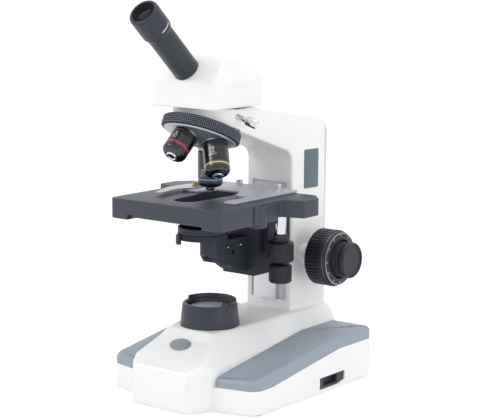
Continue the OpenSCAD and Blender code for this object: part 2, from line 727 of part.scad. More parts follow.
// Half of a tooth from its root to its tip, as distance from the axis and half width
tooth_half = [
  [pinion_r - 1.25 * gear_module, 0.9 * half_tooth(-0.9 * gear_module)], [pinion_r, half_tooth(0)],
  [pinion_r + 0.5 * gear_module, half_tooth(0.6 * gear_module) * 0.98],
  [pinion_r + 0.9 * gear_module, half_tooth(gear_module) * 0.8]];
tooth = concat([for (p = tooth_half) [p[0], -p[1]]], [for (i = [3:-1:0]) tooth_half[i]]);
module pinion_outline() polygon([for (i = [0:pinion_teeth - 1], p = tooth) let (a = i * 360 / pinion_teeth + 180)
  [p[0] * cos(a) - p[1] * sin(a), p[0] * sin(a) + p[1] * cos(a)]]);

pinion_x = (slot_x0 + slot_x1) / 2;
module focus_pinion() color("#b08d4a") at(knob_y, knob_z) along_x(pinion_x - 2.4, pinion_x + 2.4) difference() {
  pinion_outline();
  circle(r = shaft_r + 0.02);
}

ribs = 44;
module coarse_knob(side) mirror([side < 0 ? 1 : 0, 0, 0]) on_knob_axis() difference() {
  rotate_extrude() polygon(rounded([
    [shaft_r + 0.02, coarse_x0, 0], [coarse_d / 2 - 3, coarse_x0, 1.5], [coarse_d / 2, coarse_x0 + 2.5, 1.5],
    [coarse_d / 2, coarse_x - 2, 1], [coarse_d / 2 - 1.6, coarse_x, 0.5], [fine_d / 2 + 1.2, coarse_x, 0],
    [fine_d / 2 + 1.2, coarse_x - 2.5, 0], [shaft_r + 0.02, coarse_x - 2.5, 0]], 3), $fn = 96);
  for (i = [0:ribs - 1]) rotate([0, 0, i * 360 / ribs])
    translate([coarse_d / 2 - 0.6, -0.9, coarse_x0 + 3]) cube([2, 1.8, 9]);
}
module coarse_knob_right() color("#34363f") coarse_knob(1);
module coarse_knob_left() color("#34363f") coarse_knob(-1);

module fine_shaft() color("silver") on_knob_axis() translate([0, 0, -fine_x + 6])
  cylinder(r = inner_shaft_r, h = 2 * fine_x - 12);

module fine_knob(side) mirror([side < 0 ? 1 : 0, 0, 0]) on_knob_axis() difference() {
  rotate_extrude() polygon(rounded([
    [inner_shaft_r + 0.02, coarse_x - 2.1, 0], [fine_d / 2, coarse_x - 2.1, 0], [fine_d / 2, fine_x - 2.2, 1.2],
    [fine_d / 2 - 1.6, fine_x, 0.5], [fine_d / 2 - 3, fine_x, 0.2], [fine_d / 2 - 3.5, fine_x - 0.5, 0.2],
    [0, fine_x - 0.5, 0], [0, fine_x - 5.8, 0], [inner_shaft_r + 0.02, fine_x - 5.8, 0]], 3), $fn = 96);
  for (i = [0:47]) rotate([0, 0, i * 7.5]) translate([fine_d / 2 - 0.4, -0.35, coarse_x + 1.5])
    cube([2, 0.7, fine_x - coarse_x - 5]);
}
module fine_knob_right() color("#34363f") fine_knob(1);
module fine_knob_left() color("#34363f") fine_knob(-1);

// Carriage: rides on the guide rail and carries the stage

module focus_carriage() color("#33353d") optical() difference() {
  union() {
    translate([-carriage_hw, carriage_y0, carriage_z0]) cube([2 * carriage_hw, carriage_y1 - carriage_y0, under_z - carriage_z0]);
    translate([-carriage_hw - 6, carriage_y0 + 14, carriage_z0 + 22])
      cube([2 * carriage_hw + 12, carriage_y1 - carriage_y0 - 14, under_z - carriage_z0 - 22]);
  }
  translate([0, 0, carriage_z0 - 1]) linear_extrude(under_z) rail_section(fit + 0.03);
  translate([-rail_hw + 3 - fit, throat - 2, carriage_z0 - 1]) cube([2 * rail_hw - 6 + 2 * fit, 10, 200]);
}

rack_pitch = PI * gear_module;
rack_root = rack_y - 1.25 * gear_module;
teeth_below = ceil((travel_up + pinion_r) / rack_pitch) + 1;
teeth_above = ceil((travel_down + pinion_r) / rack_pitch) + 1;
// The pinion has a tooth at its front, so the rack has a gap at that height
module focus_rack() color("#9da1a6") optical() along_x(pinion_x - 2.2, pinion_x + 2.2) {
  translate([carriage_y1, knob_z - teeth_below * rack_pitch])
    square([rack_root - carriage_y1, (teeth_below + teeth_above) * rack_pitch]);
  for (i = [-teeth_below:teeth_above - 1]) translate([rack_y, knob_z + (i + 0.5) * rack_pitch]) polygon([
    [-1.26 * gear_module, -half_tooth(-1.25 * gear_module)], [0.9 * gear_module, -half_tooth(0.9 * gear_module)],
    [0.9 * gear_module, half_tooth(0.9 * gear_module)], [-1.26 * gear_module, half_tooth(-1.25 * gear_module)]]);
}

// Side outline of the arm below the stage, stepped as its cast ribs are
module condenser_arm() color("#30323a") optical() difference() {
  intersection() {
    along_x(-arm_r, arm_r) polygon(rounded([
      [-arm_r - 1, disc_z0 - 0.6, 0], [-arm_r - 1, 141, 6], [-3, 138, 2], [2, 131.5, 2], [19, 128, 2],
      [27, 122.5, 2], [carriage_y0, carriage_z0 + 4, 0], [carriage_y0, lever_z - 0.6, 0],
      [arm_r - 1, lever_z - 0.6, 0], [arm_r - 1, disc_z0 - 0.6, 0]]));
    union() {
      cylinder(r = arm_r, h = 300);
      translate([-arm_r, 0, 0]) cube([2 * arm_r, 100, 300]);
    }
  }
  translate([0, 0, 100]) cylinder(r = 6, h = 100);
  for (p = screw_places) translate([-arm_r - 1, p[0], p[1]]) rotate([0, 90, 0]) cylinder(r = 1.2 + seat, h = 2 * arm_r + 2);
  translate([-arm_r - 1, 24, 140]) rotate([0, 90, 0]) cylinder(r = 2.4, h = 2 * arm_r + 2);
}

screw_places = [[14, 146], [34, 146]];
module carriage_screws() color("silver") optical() for (s = [-1, 1], p = screw_places)
  translate([s * arm_r, p[0], p[1]]) rotate([0, s * 90, 0]) {
    translate([0, 0, -4]) cylinder(r = 1.2, h = 4.5);
    difference() {
      cylinder(r = 2.4, h = 1.6);
      translate([0, 0, 0.8]) cylinder(r = 1.2, h = 2);
    }
  }

// Round housing of the diaphragm under the stage
module condenser_housing() color("#2a2c33") optical() difference() {
  union() {
    translate([0, disc_y, housing_z0]) cylinder(r = disc_r - 0.5, h = under_z - housing_z0);
    translate([-16, 0, housing_z0]) cube([32, carriage_y0, under_z - housing_z0]);
    translate([0, disc_y, disc_z0]) cylinder(r = disc_pin_r, h = 8);
  }
  translate([-30, -60, housing_z0 + 6]) cube([60, 42, 4]);
  translate([0, 0, housing_z0 - 1]) cylinder(r = condenser_r, h = 60);
}

module condenser_lens() color("#bcd3e6") at(0, housing_z0 + 8) lens(condenser_r - seat, 3, 2);

apertures = [2, 4, 6, 8, 10];
module diaphragm_disc() color("#4a4d57") at(disc_y, disc_z0) difference() {
  union() {
    cylinder(r = disc_r - 1, h = 1.6);
    difference() {
      tube(disc_r, disc_r - 2.2, disc_t);
      for (i = [0:71]) rotate([0, 0, i * 5]) translate([disc_r - 0.4, -0.3, -1]) cube([2, 0.6, disc_t + 2]);
    }
    cylinder(r = 4.5, h = disc_t);
    rotate([0, 0, 245]) translate([disc_r - 0.5, -2.5, lever_z - disc_z0]) cube([3.5, 5, disc_t - lever_z + disc_z0]);
  }
  translate([0, 0, -1]) cylinder(r = disc_pin_r + fit, h = 20);
  for (i = [0:4]) rotate([0, 0, 90 + i * 72]) translate([-disc_y, 0, -1]) cylinder(r = apertures[i] / 2, h = 3);
}

// Stage

module stage_outline() polygon(rounded(both_sides([
  [stage_hw, -stage_front, 4], [stage_hw, 24, 2], [wing_hw, 31, 2],
  [wing_hw, 55, 4], [wing_hw - 13, stage_back, 3]])));

module stage_plate() color("#4a4d5a") optical() difference() {
  union() {
    translate([0, 0, under_z]) linear_extrude(stage_t) stage_outline();
    translate([0, 0, under_z - skirt_drop]) linear_extrude(skirt_drop + 1) difference() {
      stage_outline();
      square([2 * skirt_x, 200], center = true);
      translate([-100, 18]) square(200);
    }
    for (s = [-1, 1]) translate([s * (stage_hw - boss_r + boss_out), boss_y, under_z - boss_drop])
      cylinder(r = boss_r, h = stage_t + boss_drop - 2.5);
  }
  slot(opening_r, opening_y0, opening_y1, under_z - 1, stage_z + 1);
  translate([-stage_hw + 11, -stage_front - 1, under_z - 1]) cube([5, 5, 4]);
  translate([rail_x0 - gap, pocket_y0, rail_z0 - gap]) cube([rail_x1 - rail_x0 + 2 * gap, 60, 20]);
  translate([coax_x, 0, 0]) slot(coax_slot_r, coax_y - y_front_travel, coax_y + 30, under_z - 1, rail_z0);
  for (s = [-1, 1]) translate([s * stage_hw, boss_y - boss_r - 6, under_z - skirt_drop - 1])
    cylinder(r = 2.5, h = stage_t + skirt_drop - 1.5);
  under_pockets();
}

// Shallow panels between the cast ribs of the underside
skirt_x = 50;
skirt_drop = 3;
boss_y = -5;
boss_r = 9;
boss_out = 2.4;
boss_drop = 7;
module under_pockets() for (x = [-38, 38], y = [-stage_front + 8, -stage_front + 54])
  translate([x - 9, y, under_z - 1]) cube([18, 34, 4]);

// Cross rail: moves to and fro in the stage pocket and guides the holder
module cross_rail() color("#6b7078") optical() difference() {
  translate([rail_x0, rail_y0, rail_z0]) cube([rail_x1 - rail_x0, rail_y1 - rail_y0, stage_z - rail_z0]);
  translate([rail_x0 - 1, screw_y - 3 - fit, rail_z0 + 2]) cube([200, 6 + 2 * fit, 10]);
}

module coax_sleeve() color("silver") optical() translate([coax_x, coax_y, 0]) {
  translate([0, 0, sleeve_z0]) tube(coax_r + 2.2, 3 + fit, 9);
  translate([0, 0, sleeve_z0 + 9]) tube(coax_r, 3 + fit, rail_z0 - sleeve_z0 - 9);
}

module knob_ribs(r, h, n) for (i = [0:n - 1]) rotate([0, 0, i * 360 / n]) translate([r - 0.35, -0.4, -1])
  cube([2, 0.8, h + 2]);

module stage_y_knob() color("#3a3c44") optical() translate([coax_x, coax_y, y_knob_z]) difference() {
  union() {
    cylinder(r = y_knob_r, h = y_knob_h);
    translate([0, 0, y_knob_h]) cylinder(r = 3, h = 10);
  }
  knob_ribs(y_knob_r, y_knob_h, 40);
  translate([0, 0, -1]) cylinder(r = 1.5 + fit, h = 100);
}

module stage_x_knob() color("#3a3c44") optical() translate([coax_x, coax_y, x_knob_z]) {
  difference() {
    cylinder(r = x_knob_r, h = x_knob_h);
    knob_ribs(x_knob_r, x_knob_h, 36);
  }
  translate([0, 0, x_knob_h]) cylinder(r = 1.5, h = stage_z - x_knob_z - x_knob_h - 6);
}

module specimen_holder() color("#b4b7bb") optical() difference() {
  union() {
    translate([0, 0, holder_z0]) linear_extrude(holder_t) polygon(rounded([
      [-42, 72, 4], [-42, 5, 5], [-19, 5, 3], [-12, 26.5, 5], [16, 26.5, 4], [27, 5, 2],
      [holder_arm_x, 5, 0], [holder_arm_x, -33, 2], [holder_arm_x + 12.5, -33, 4], [holder_arm_x + 12.5, 72, 4]]));
    translate([key_x0, screw_y - 3, rail_z0 + 2.2]) cube([key_x1 - key_x0, 6, holder_z0 - rail_z0 - 1.7]);
  }
  for (x = screw_x) translate([x, screw_y, holder_z0 + 0.2]) cylinder(r = 1.6, h = 20);
  translate([finger_x, finger_y, rail_z0]) cylinder(r = 1.6, h = 20);
}

module holder_screws() color("silver") optical() for (x = screw_x) translate([x, screw_y, holder_z0 + holder_t]) {
  cylinder(r = 3, h = 1.2);
  translate([0, 0, 1]) difference() {
    cylinder(r = 3.4, h = 5);
    for (i = [0:15]) rotate([0, 0, i * 22.5]) translate([3.2, -0.3, -1]) cube([1, 0.6, 10]);
  }
  translate([0, 0, -2]) cylinder(r = 1.5, h = 2.1);
}

// Crescent spring finger that presses the slide against the holder arm
finger_z = holder_z0 + holder_t + 0.5;
module spring_finger() color("#d5d8db") optical() difference() {
  translate([0, 0, finger_z]) linear_extrude(0.8) polygon(rounded([
    [finger_x + 6, finger_y + 6, 5], [finger_x - 14, finger_y + 9, 4], [finger_x - 17, -2, 10],
    [finger_x - 3, -35, 1.5], [finger_x + 2.5, -33, 1.5], [finger_x - 3, -8, 8], [finger_x + 7, finger_y - 8, 5]]));
  translate([finger_x, finger_y, 0]) cylinder(r = 2 + fit, h = 400);
}

module finger_pivot() color("#b08d4a") optical() translate([finger_x, finger_y, holder_z0 + holder_t]) {
  cylinder(r = 2, h = 2);
  translate([0, 0, 1.6]) cylinder(r = 4, h = 0.6);
  translate([0, 0, 2.2]) cylinder(r = 2.8, h = 3);
  translate([0, 0, -2.2]) cylinder(r = 1.5, h = 2.3);
}

base_housing();
base_plate();
rubber_feet();
base_screws();
pad_left();
pad_right();
front_badge();
switch_frame();
power_rocker();
power_inlet();
lamp_module();
lamp_lens();
lamp_collar();
arm_casting();
side_label();
front_cover();
guide_rail();
shaft_bushes();
head_housing();
head_flange();
head_prism();
eye_tube();
head_lock_screw();
eyepiece_body();
eyepiece_lenses();
nosepiece_base();
nosepiece_turret();
nosepiece_grip();
port_plug();
objective_low();
objective_mid();
objective_high();
objective_high_nose();
band_low();
band_mid();
band_high();
front_lenses();
coarse_shaft();
focus_pinion();
coarse_knob_right();
coarse_knob_left();
fine_shaft();
fine_knob_right();
fine_knob_left();
focus_carriage();
focus_rack();
condenser_arm();
carriage_screws();
condenser_housing();
condenser_lens();
diaphragm_disc();
stage_plate();
cross_rail();
coax_sleeve();
stage_y_knob();
stage_x_knob();
specimen_holder();
holder_screws();
spring_finger();
finger_pivot();
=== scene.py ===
import math

import bpy
from mathutils import Matrix, Vector


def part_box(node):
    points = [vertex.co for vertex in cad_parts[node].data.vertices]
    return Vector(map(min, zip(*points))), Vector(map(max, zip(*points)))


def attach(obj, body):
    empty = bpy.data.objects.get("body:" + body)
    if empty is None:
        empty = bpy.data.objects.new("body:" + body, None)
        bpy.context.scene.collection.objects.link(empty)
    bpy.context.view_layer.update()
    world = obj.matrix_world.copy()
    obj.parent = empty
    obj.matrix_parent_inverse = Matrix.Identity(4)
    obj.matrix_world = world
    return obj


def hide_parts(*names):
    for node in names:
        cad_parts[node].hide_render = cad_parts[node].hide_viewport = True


# Looks of a monocular compound microscope. Lengths in the pieces below are millimetres,
# measured from the optical axis across and along, and from the bench upward.

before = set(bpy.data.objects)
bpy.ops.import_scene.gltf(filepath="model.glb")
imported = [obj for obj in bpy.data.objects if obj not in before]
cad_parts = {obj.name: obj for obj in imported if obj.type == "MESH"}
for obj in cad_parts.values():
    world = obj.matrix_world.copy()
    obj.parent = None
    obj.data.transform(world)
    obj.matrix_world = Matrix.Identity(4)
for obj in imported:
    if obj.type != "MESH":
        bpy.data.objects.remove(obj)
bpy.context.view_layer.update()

MM = 0.001
FULL_TURN = 2 * math.pi
condenser_low, condenser_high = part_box("condenser_lens")
AXIS_Y = (condenser_low.y + condenser_high.y) / 2


# Places

def mm(x, y, z):
    """A place in metres from millimetres off the optical axis and above the bench."""
    return Vector((x * MM, AXIS_Y + y * MM, z * MM))


def at(x, y, z):
    """The shift to a place in millimetres."""
    return Matrix.Translation(mm(x, y, z))


def off_axis(spot):
    """Distance of a spot from the upright axis, in millimetres."""
    return math.hypot(spot.x, spot.y) / MM


def sector(spot, count):
    """Which of this many equal sectors round the upright axis a spot lies in."""
    return int(round(math.degrees(math.atan2(spot.y, spot.x)) / (360 / count) - 0.5))


def hand(side):
    """Name of the side that +1 or -1 stands for."""
    return "right" if side > 0 else "left"


def turn_about(axis, degrees):
    return Matrix.Rotation(math.radians(degrees), 4, axis)


def arc_corner(before, corner, after, radius, steps):
    """Points of the round that takes the place of a corner."""
    if radius <= 0:
        return [corner.copy()]
    to_before = (before - corner).normalized()
    to_after = (after - corner).normalized()
    half = to_before.angle(to_after) / 2
    middle = corner + (to_before + to_after).normalized() * radius / math.sin(half)
    start = corner + to_before * radius / math.tan(half) - middle
    end = corner + to_after * radius / math.tan(half) - middle
    sweep = start.angle(end)
    return [middle + start * (math.sin(sweep * (1 - i / steps)) / math.sin(sweep))
            + end * (math.sin(sweep * i / steps) / math.sin(sweep)) for i in range(steps + 1)]


def rounded(corners, steps=6):
    """An outline in two directions, from corners given as (across, along, round)."""
    flat = [Vector((a, b)) for a, b, _ in corners]
    count = len(flat)
    return [p for i in range(count)
            for p in arc_corner(flat[i - 1], flat[i], flat[(i + 1) % count], corners[i][2], steps)]


def both_sides(corners):
    """The corners of one half, and their mirror images across the centre line."""
    return list(corners) + [(-a, b, r) for a, b, r in reversed(corners)]


# Ways of modelling

def mode(name):
    bpy.ops.object.mode_set(mode=name)


def only(piece):
    """Makes this piece the one that the next step works on."""
    if bpy.context.object and bpy.context.object.mode != "OBJECT":
        mode("OBJECT")
    bpy.ops.object.select_all(action="DESELECT")
    if piece:
        piece.select_set(True)
        bpy.context.view_layer.objects.active = piece


def drawn(name, places):
    """A chain of edges, pulled point by point from one corner, left with all of it chosen."""
    only(None)
    bpy.ops.mesh.primitive_plane_add(size=MM, location=places[0])
    piece = bpy.context.object
    piece.name = name
    bpy.ops.object.transform_apply(location=True, rotation=True, scale=True)
    mode("EDIT")
    bpy.ops.mesh.select_mode(type="VERT")
    bpy.ops.mesh.select_all(action="SELECT")
    bpy.ops.mesh.merge(type="CENTER")
    for here, there in zip(places, places[1:]):
        bpy.ops.mesh.extrude_vertices_move(TRANSFORM_OT_translate={"value": there - here})
    bpy.ops.mesh.select_all(action="SELECT")
    return piece


def clean_up():
    """Merges doubled points, turns the faces outward and leaves edit mode."""
    bpy.ops.mesh.select_all(action="SELECT")
    bpy.ops.mesh.remove_doubles(threshold=0.002 * MM)
    bpy.ops.mesh.normals_make_consistent(inside=False)
    mode("OBJECT")


def plate(name, places, pull):
    """A filled outline pulled out by a vector."""
    piece = drawn(name, places)
    bpy.ops.mesh.edge_face_add()
    bpy.ops.mesh.extrude_region_move(TRANSFORM_OT_translate={"value": pull})
    clean_up()
    return piece


def plan_plate(name, outline, low, high):
    """A plate seen from above, between two heights."""
    return plate(name, [mm(x, y, low) for x, y in outline], Vector((0, 0, (high - low) * MM)))


def side_plate(name, outline, left, right):
    """A plate seen from the side, its outline in depth and height."""
    return plate(name, [mm(left, y, z) for y, z in outline], Vector(((right - left) * MM, 0, 0)))


def front_plate(name, outline, near, far):
    """A plate seen from the front, its outline in width and height."""
    return plate(name, [mm(x, near, z) for x, z in outline], Vector((0, (far - near) * MM, 0)))


def block(name, low, high):
    """A squared block, for cutting and joining."""
    (x0, y0, z0), (x1, y1, z1) = low, high
    return plan_plate(name, [(x0, y0), (x1, y0), (x1, y1), (x0, y1)], z0, z1)


def turned(name, profile, steps=64):
    """A profile of (radius, height) spun about the upright axis, as on a lathe."""
    piece = drawn(name, [Vector((r * MM, 0, h * MM)) for r, h in profile])
    bpy.ops.mesh.spin(steps=steps, angle=FULL_TURN, center=(0, 0, 0), axis=(0, 0, 1))
    clean_up()
    return piece


def rod(name, radius, low, high, steps):
    """A straight round bar on the upright axis."""
    return turned(name, [(0, low), (radius, low), (radius, high), (0, high)], steps)


def place(piece, matrix):
    """Sets a piece, made about the upright axis, in its place."""
    only(piece)
    piece.matrix_world = matrix
    bpy.ops.object.transform_apply(location=True, rotation=True, scale=True)
    return piece


def apply_step(piece, modifier):
    only(piece)
    bpy.ops.object.modifier_apply(modifier=modifier.name)


def combine(piece, tool, how):
    """Cuts, meets or joins a piece with a tool, and uses the tool up."""
    step = piece.modifiers.new("shape", "BOOLEAN")
    step.operation = how
    step.object = tool
    step.solver = "EXACT"
    apply_step(piece, step)
    bpy.data.objects.remove(tool)


def cut(piece, tool):
    combine(piece, tool, "DIFFERENCE")


def meet(piece, tool):
    combine(piece, tool, "INTERSECT")


def weld(piece, tool):
    combine(piece, tool, "UNION")


def bore(piece, radius, low, high, matrix, steps):
    """Drills a round hole along the axis that a matrix sets."""
    cut(piece, place(rod("bore", radius, low, high, steps), matrix))


def slice_off(piece, through, outward):
    """Cuts a piece along a plane, closes it, and drops what lies on the outward side."""
    only(piece)
    mode("EDIT")
    bpy.ops.mesh.select_all(action="SELECT")
    bpy.ops.mesh.bisect(plane_co=through, plane_no=outward, clear_outer=True, use_fill=True)
    clean_up()


def gather(name, pieces):
    """Several separate solids as one piece."""
    only(pieces[0])
    for piece in pieces[1:]:
        piece.select_set(True)
    if len(pieces) > 1:
        bpy.ops.object.join()
    pieces[0].name = name
    return pieces[0]


def ease_edges(piece, radius, segments=3, sharper_than=30):
    """Rounds every edge that is sharper than an angle."""
    step = piece.modifiers.new("round", "BEVEL")
    step.width = radius * MM
    step.segments = segments
    step.limit_method = "ANGLE"
    step.angle_limit = math.radians(sharper_than)
    apply_step(piece, step)


def round_chosen(piece, radius, chosen, segments=5):
    """Rounds the edges whose middle, direction and corner angle pass a test."""
    only(piece)
    mode("EDIT")
    bpy.ops.mesh.select_mode(type="EDGE")
    bpy.ops.mesh.select_all(action="DESELECT")
    mode("OBJECT")
    spots = piece.data.vertices
    meeting = {}
    for face in piece.data.polygons:
        for key in face.edge_keys:
            meeting.setdefault(key, []).append(face.normal)
    for edge in piece.data.edges:
        a, b = (spots[v].co for v in edge.vertices)
        sides = meeting.get(edge.key, [])
        if len(sides) == 2:
            angle = math.degrees(sides[0].angle(sides[1], 0))
            edge.select = bool(chosen((a + b) / 2, (b - a).normalized(), angle))
    mode("EDIT")
    bpy.ops.mesh.bevel(offset=radius * MM, segments=segments, affect="EDGES", clamp_overlap=False)
    clean_up()


def soften(piece, grain_mm, passes):
    """Rebuilds a piece as one even skin and relaxes it, which rounds its edges."""
    skin = piece.modifiers.new("skin", "REMESH")
    skin.mode = "VOXEL"
    skin.voxel_size = grain_mm * MM
    apply_step(piece, skin)
    relaxed = piece.modifiers.new("relaxed", "SMOOTH")
    relaxed.factor = 0.5
    relaxed.iterations = passes
    apply_step(piece, relaxed)


def choose_faces(piece, chosen):
    """Selects the faces whose centre and direction pass a test."""
    only(piece)
    mode("EDIT")
    bpy.ops.mesh.select_mode(type="FACE")
    bpy.ops.mesh.select_all(action="DESELECT")
    mode("OBJECT")
    for face in piece.data.polygons:
        face.select = bool(chosen(face.center, face.normal))
    mode("EDIT")


def raise_studs(piece, chosen, border, height):
    """Insets each chosen face by itself and lifts it, as knurling does."""
    choose_faces(piece, chosen)
    bpy.ops.mesh.inset(thickness=border * MM, depth=height * MM, use_individual=True)
    mode("OBJECT")


def paint_faces(piece, material, chosen):
    """Gives the chosen faces a finish of their own."""
    piece.data.materials.append(material)
    number = len(piece.data.materials) - 1
    for face in piece.data.polygons:
        if chosen(face.center, face.normal):
            face.material_index = number


def wall_rows(radius, low, high, rows):
    """A straight wall of a profile in equal rows."""
    return [(radius, low + (high - low) * i / rows) for i in range(rows + 1)]


def finished(piece, body, material, nodes=(), angle=38):
    """Shades a piece, gives it its finish, and hands it to the body that carries it."""
    only(piece)
    bpy.ops.object.shade_smooth_by_angle(angle=math.radians(angle))
    if not piece.data.materials:
        piece.data.materials.append(material)
    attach(piece, body)
    if nodes:
        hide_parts(*nodes)


# Finishes

def colour(hex_code):
    """A written colour as linear light."""
    parts = [int(hex_code[i:i + 2], 16) / 255 for i in (1, 3, 5)]
    return [c / 12.92 if c <= 0.04045 else ((c + 0.055) / 1.055) ** 2.4 for c in parts] + [1.0]


def add_node(owner, kind, values=None, links=None, **settings):
    """Adds a node with its settings, the values of its sockets, and what is linked to them."""
    node = owner.node_tree.nodes.new(kind)
    for setting, value in settings.items():
        setattr(node, setting, value)
    for socket, value in (values or {}).items():
        node.inputs[socket].default_value = value
    for socket, source in (links or {}).items():
        owner.node_tree.links.new(source, node.inputs[socket])
    return node


def bare(name):
    """A material with nothing in it yet."""
    material = bpy.data.materials.new(name)
    material.use_nodes = True
    material.node_tree.nodes.clear()
    return material


# A paint, a moulding or a casting changes its tone slowly, over about this length
DRIFT_MM = 45
# Height of the grain, about what orange peel and spark-eroded moulds leave
RELIEF_MM = 0.1
# Share by which the gloss follows the grain
GLOSS_SPREAD = 0.12


def surfaced(name, tone, rough, grain_mm, grain, drift, stretch=(1, 1, 1), **sockets):
    """A solid finish: a slow drift of its tone, and one fine grain in its relief and gloss."""
    material = bare(name)
    spot = add_node(material, "ShaderNodeTexCoord").outputs["Object"]
    slow = add_node(material, "ShaderNodeTexNoise", {"Scale": 1 / (DRIFT_MM * MM), "Detail": 2},
                    {"Vector": spot})
    tones = add_node(material, "ShaderNodeValToRGB", links={"Fac": slow.outputs["Fac"]})
    for stop, where, share in zip(tones.color_ramp.elements, (0.3, 0.7), (1 - drift, 1 + drift)):
        stop.position = where
        stop.color = [min(1, c * share) for c in colour(tone)[:3]] + [1]
    drawn_out = add_node(material, "ShaderNodeMapping", {"Scale": stretch}, {"Vector": spot})
    fine = add_node(material, "ShaderNodeTexNoise", {"Scale": 1 / (grain_mm * MM), "Detail": 3},
                    {"Vector": drawn_out.outputs["Vector"]})
    dull, shiny = min(1, rough * (1 + GLOSS_SPREAD)), rough * (1 - GLOSS_SPREAD)
    gloss = add_node(material, "ShaderNodeMapRange", {"To Min": shiny, "To Max": dull},
                     {"Value": fine.outputs["Fac"]})
    relief = add_node(material, "ShaderNodeBump", {"Strength": grain, "Distance": RELIEF_MM * MM},
                      {"Height": fine.outputs["Fac"]})
    shader = add_node(material, "ShaderNodeBsdfPrincipled", sockets,
                      {"Base Color": tones.outputs["Color"], "Roughness": gloss.outputs["Result"],
                       "Normal": relief.outputs["Normal"]})
    add_node(material, "ShaderNodeOutputMaterial", links={"Surface": shader.outputs["BSDF"]})
    return material


def painted(name, tone, rough, peel_mm, peel, drift=0.03, coat=0.0, shine=0.5):
    """Sprayed paint: an orange-peel relief, and a clear film where it has one."""
    return surfaced(name, tone, rough, peel_mm, peel, drift, **{
        "IOR": 1.5, "Specular IOR Level": shine, "Coat Weight": coat, "Coat Roughness": 0.15})


def moulded(name, tone, rough, grain_mm, grain, drift=0.05, shine=0.4):
    """Plastic or rubber with the dull, even grain of its mould."""
    return surfaced(name, tone, rough, grain_mm, grain, drift, **{
        "IOR": 1.53, "Specular IOR Level": shine})


def metal(name, tone, rough, line_mm, lines, stretch=(1, 1, 1)):
    """Bare or plated metal with the marks that its tool left."""
    return surfaced(name, tone, rough, line_mm, lines, 0.04, stretch, Metallic=1.0)


def enamel(name, tone):
    """Glossy enamel that has run into a groove."""
    return painted(name, tone, 0.3, 0.8, 0.02, coat=0.3)


def glass(name, tone, rough, clear, shine=0.5):
    """Polished glass, clear or dark."""
    material = bare(name)
    shader = add_node(material, "ShaderNodeBsdfPrincipled", {
        "Base Color": colour(tone), "Roughness": rough, "IOR": 1.52, "Transmission Weight": clear,
        "Specular IOR Level": shine})
    add_node(material, "ShaderNodeOutputMaterial", links={"Surface": shader.outputs["BSDF"]})
    return material


# White polyurethane enamel sprayed on die-cast aluminium: near neutral, smooth, with a wide soft shine
white_enamel = painted("white_enamel", "#f3f3f3", 0.42, 0.9, 0.05, drift=0.006, coat=0.15)
# Black powder coat baked on aluminium castings: a dull blue-black with a visible pebble
black_powder_coat = painted("black_powder_coat", "#30333e", 0.5, 0.5, 0.22, shine=0.35)
# Anthracite wear-proof coat of the stage: a little smoother and lighter than the other castings
stage_coat = painted("stage_coat", "#3d404b", 0.42, 0.35, 0.2, shine=0.4)
# Black lacquer on turned brass barrels: deep black with sharp reflections under a clear film
barrel_lacquer = painted("barrel_lacquer", "#121319", 0.24, 0.4, 0.05, coat=0.3)
# Satin black anodised aluminium tube: even, slightly blue, a soft long highlight
anodised_black = painted("anodised_black", "#2f323d", 0.4, 0.4, 0.1, shine=0.4)
# Moulded black ABS of the knobs: blue-black, dull, with the grain of a spark-eroded mould
knob_abs = moulded("knob_abs", "#262833", 0.46, 0.4, 0.14, shine=0.35)
# The same ABS made paler on the tops of the small studs: a painted highlight that lifts them from their gaps
stud_highlight_abs = moulded("stud_highlight_abs", "#444752", 0.38, 0.4, 0.08, shine=0.4)
# Moulded black ABS of the lamp collar and small fittings: a little glossier, with a shallower grain
collar_abs = moulded("collar_abs", "#2f323d", 0.38, 0.4, 0.1)
# Black nitrile rubber of the nosepiece grip: matt and nearly black all over; only the stud tops are painted
# paler
grip_rubber = moulded("grip_rubber", "#1f212b", 0.6, 0.5, 0.2, shine=0.35)
# The same rubber made paler on the tops of the studs: a painted highlight
stud_highlight_rubber = moulded("stud_highlight_rubber", "#6f7280", 0.5, 0.5, 0.1, shine=0.4)
# Black neoprene of the feet: fully matt
foot_rubber = moulded("foot_rubber", "#17181b", 0.8, 0.5, 0.25)
# Blue-grey thermoplastic elastomer of the hand rests: satin, soft to the touch
slate_elastomer = moulded("slate_elastomer", "#929daa", 0.4, 0.45, 0.12, drift=0.03, shine=0.5)
# Pale grey ABS of the inner covers: matt, faintly grained
pale_abs = moulded("pale_abs", "#d9dbdf", 0.5, 0.6, 0.08, drift=0.03)
# Grey enamelled badge under a domed clear resin: flat colour, glossy film
badge_enamel = painted("badge_enamel", "#858b97", 0.35, 0.4, 0.04, coat=0.5)
# Slate film label under a satin laminate
label_film = painted("label_film", "#5f6f79", 0.45, 0.4, 0.04)
# Satin anodised aluminium of the turret: grey, with the rings of turning too fine to part at this size
turret_aluminium = metal("turret_aluminium", "#b4b8c0", 0.42, 0.3, 0.14)
# Nickel-chrome plate on steel: bright and almost without a mark
chrome_plate = metal("chrome_plate", "#d9dbde", 0.13, 0.6, 0.02)
# Black chrome plate on the ends of the objectives: dark mirror that keeps only the lamps
black_chrome = metal("black_chrome", "#4b5057", 0.16, 0.6, 0.02)
# Ground steel of the shafts and rails: satin, with marks drawn along its length
ground_steel = metal("ground_steel", "#b9bcc1", 0.32, 0.3, 0.1, stretch=(1, 1, 0.2))
# Bright drawn steel of the guide rail, greased and pale against the white casting
rail_steel = metal("rail_steel", "#e3e5e8", 0.48, 0.3, 0.08, stretch=(1, 1, 0.2))
# Bead-blasted, clear anodised aluminium of the slide holder: pale matt grey
blasted_aluminium = surfaced("blasted_aluminium", "#b7babf", 0.42, 0.25, 0.15, 0.04, Metallic=0.45)
# Turned and lacquered brass: a warm satin yellow
turned_brass = metal("turned_brass", "#a8926c", 0.32, 0.4, 0.05)
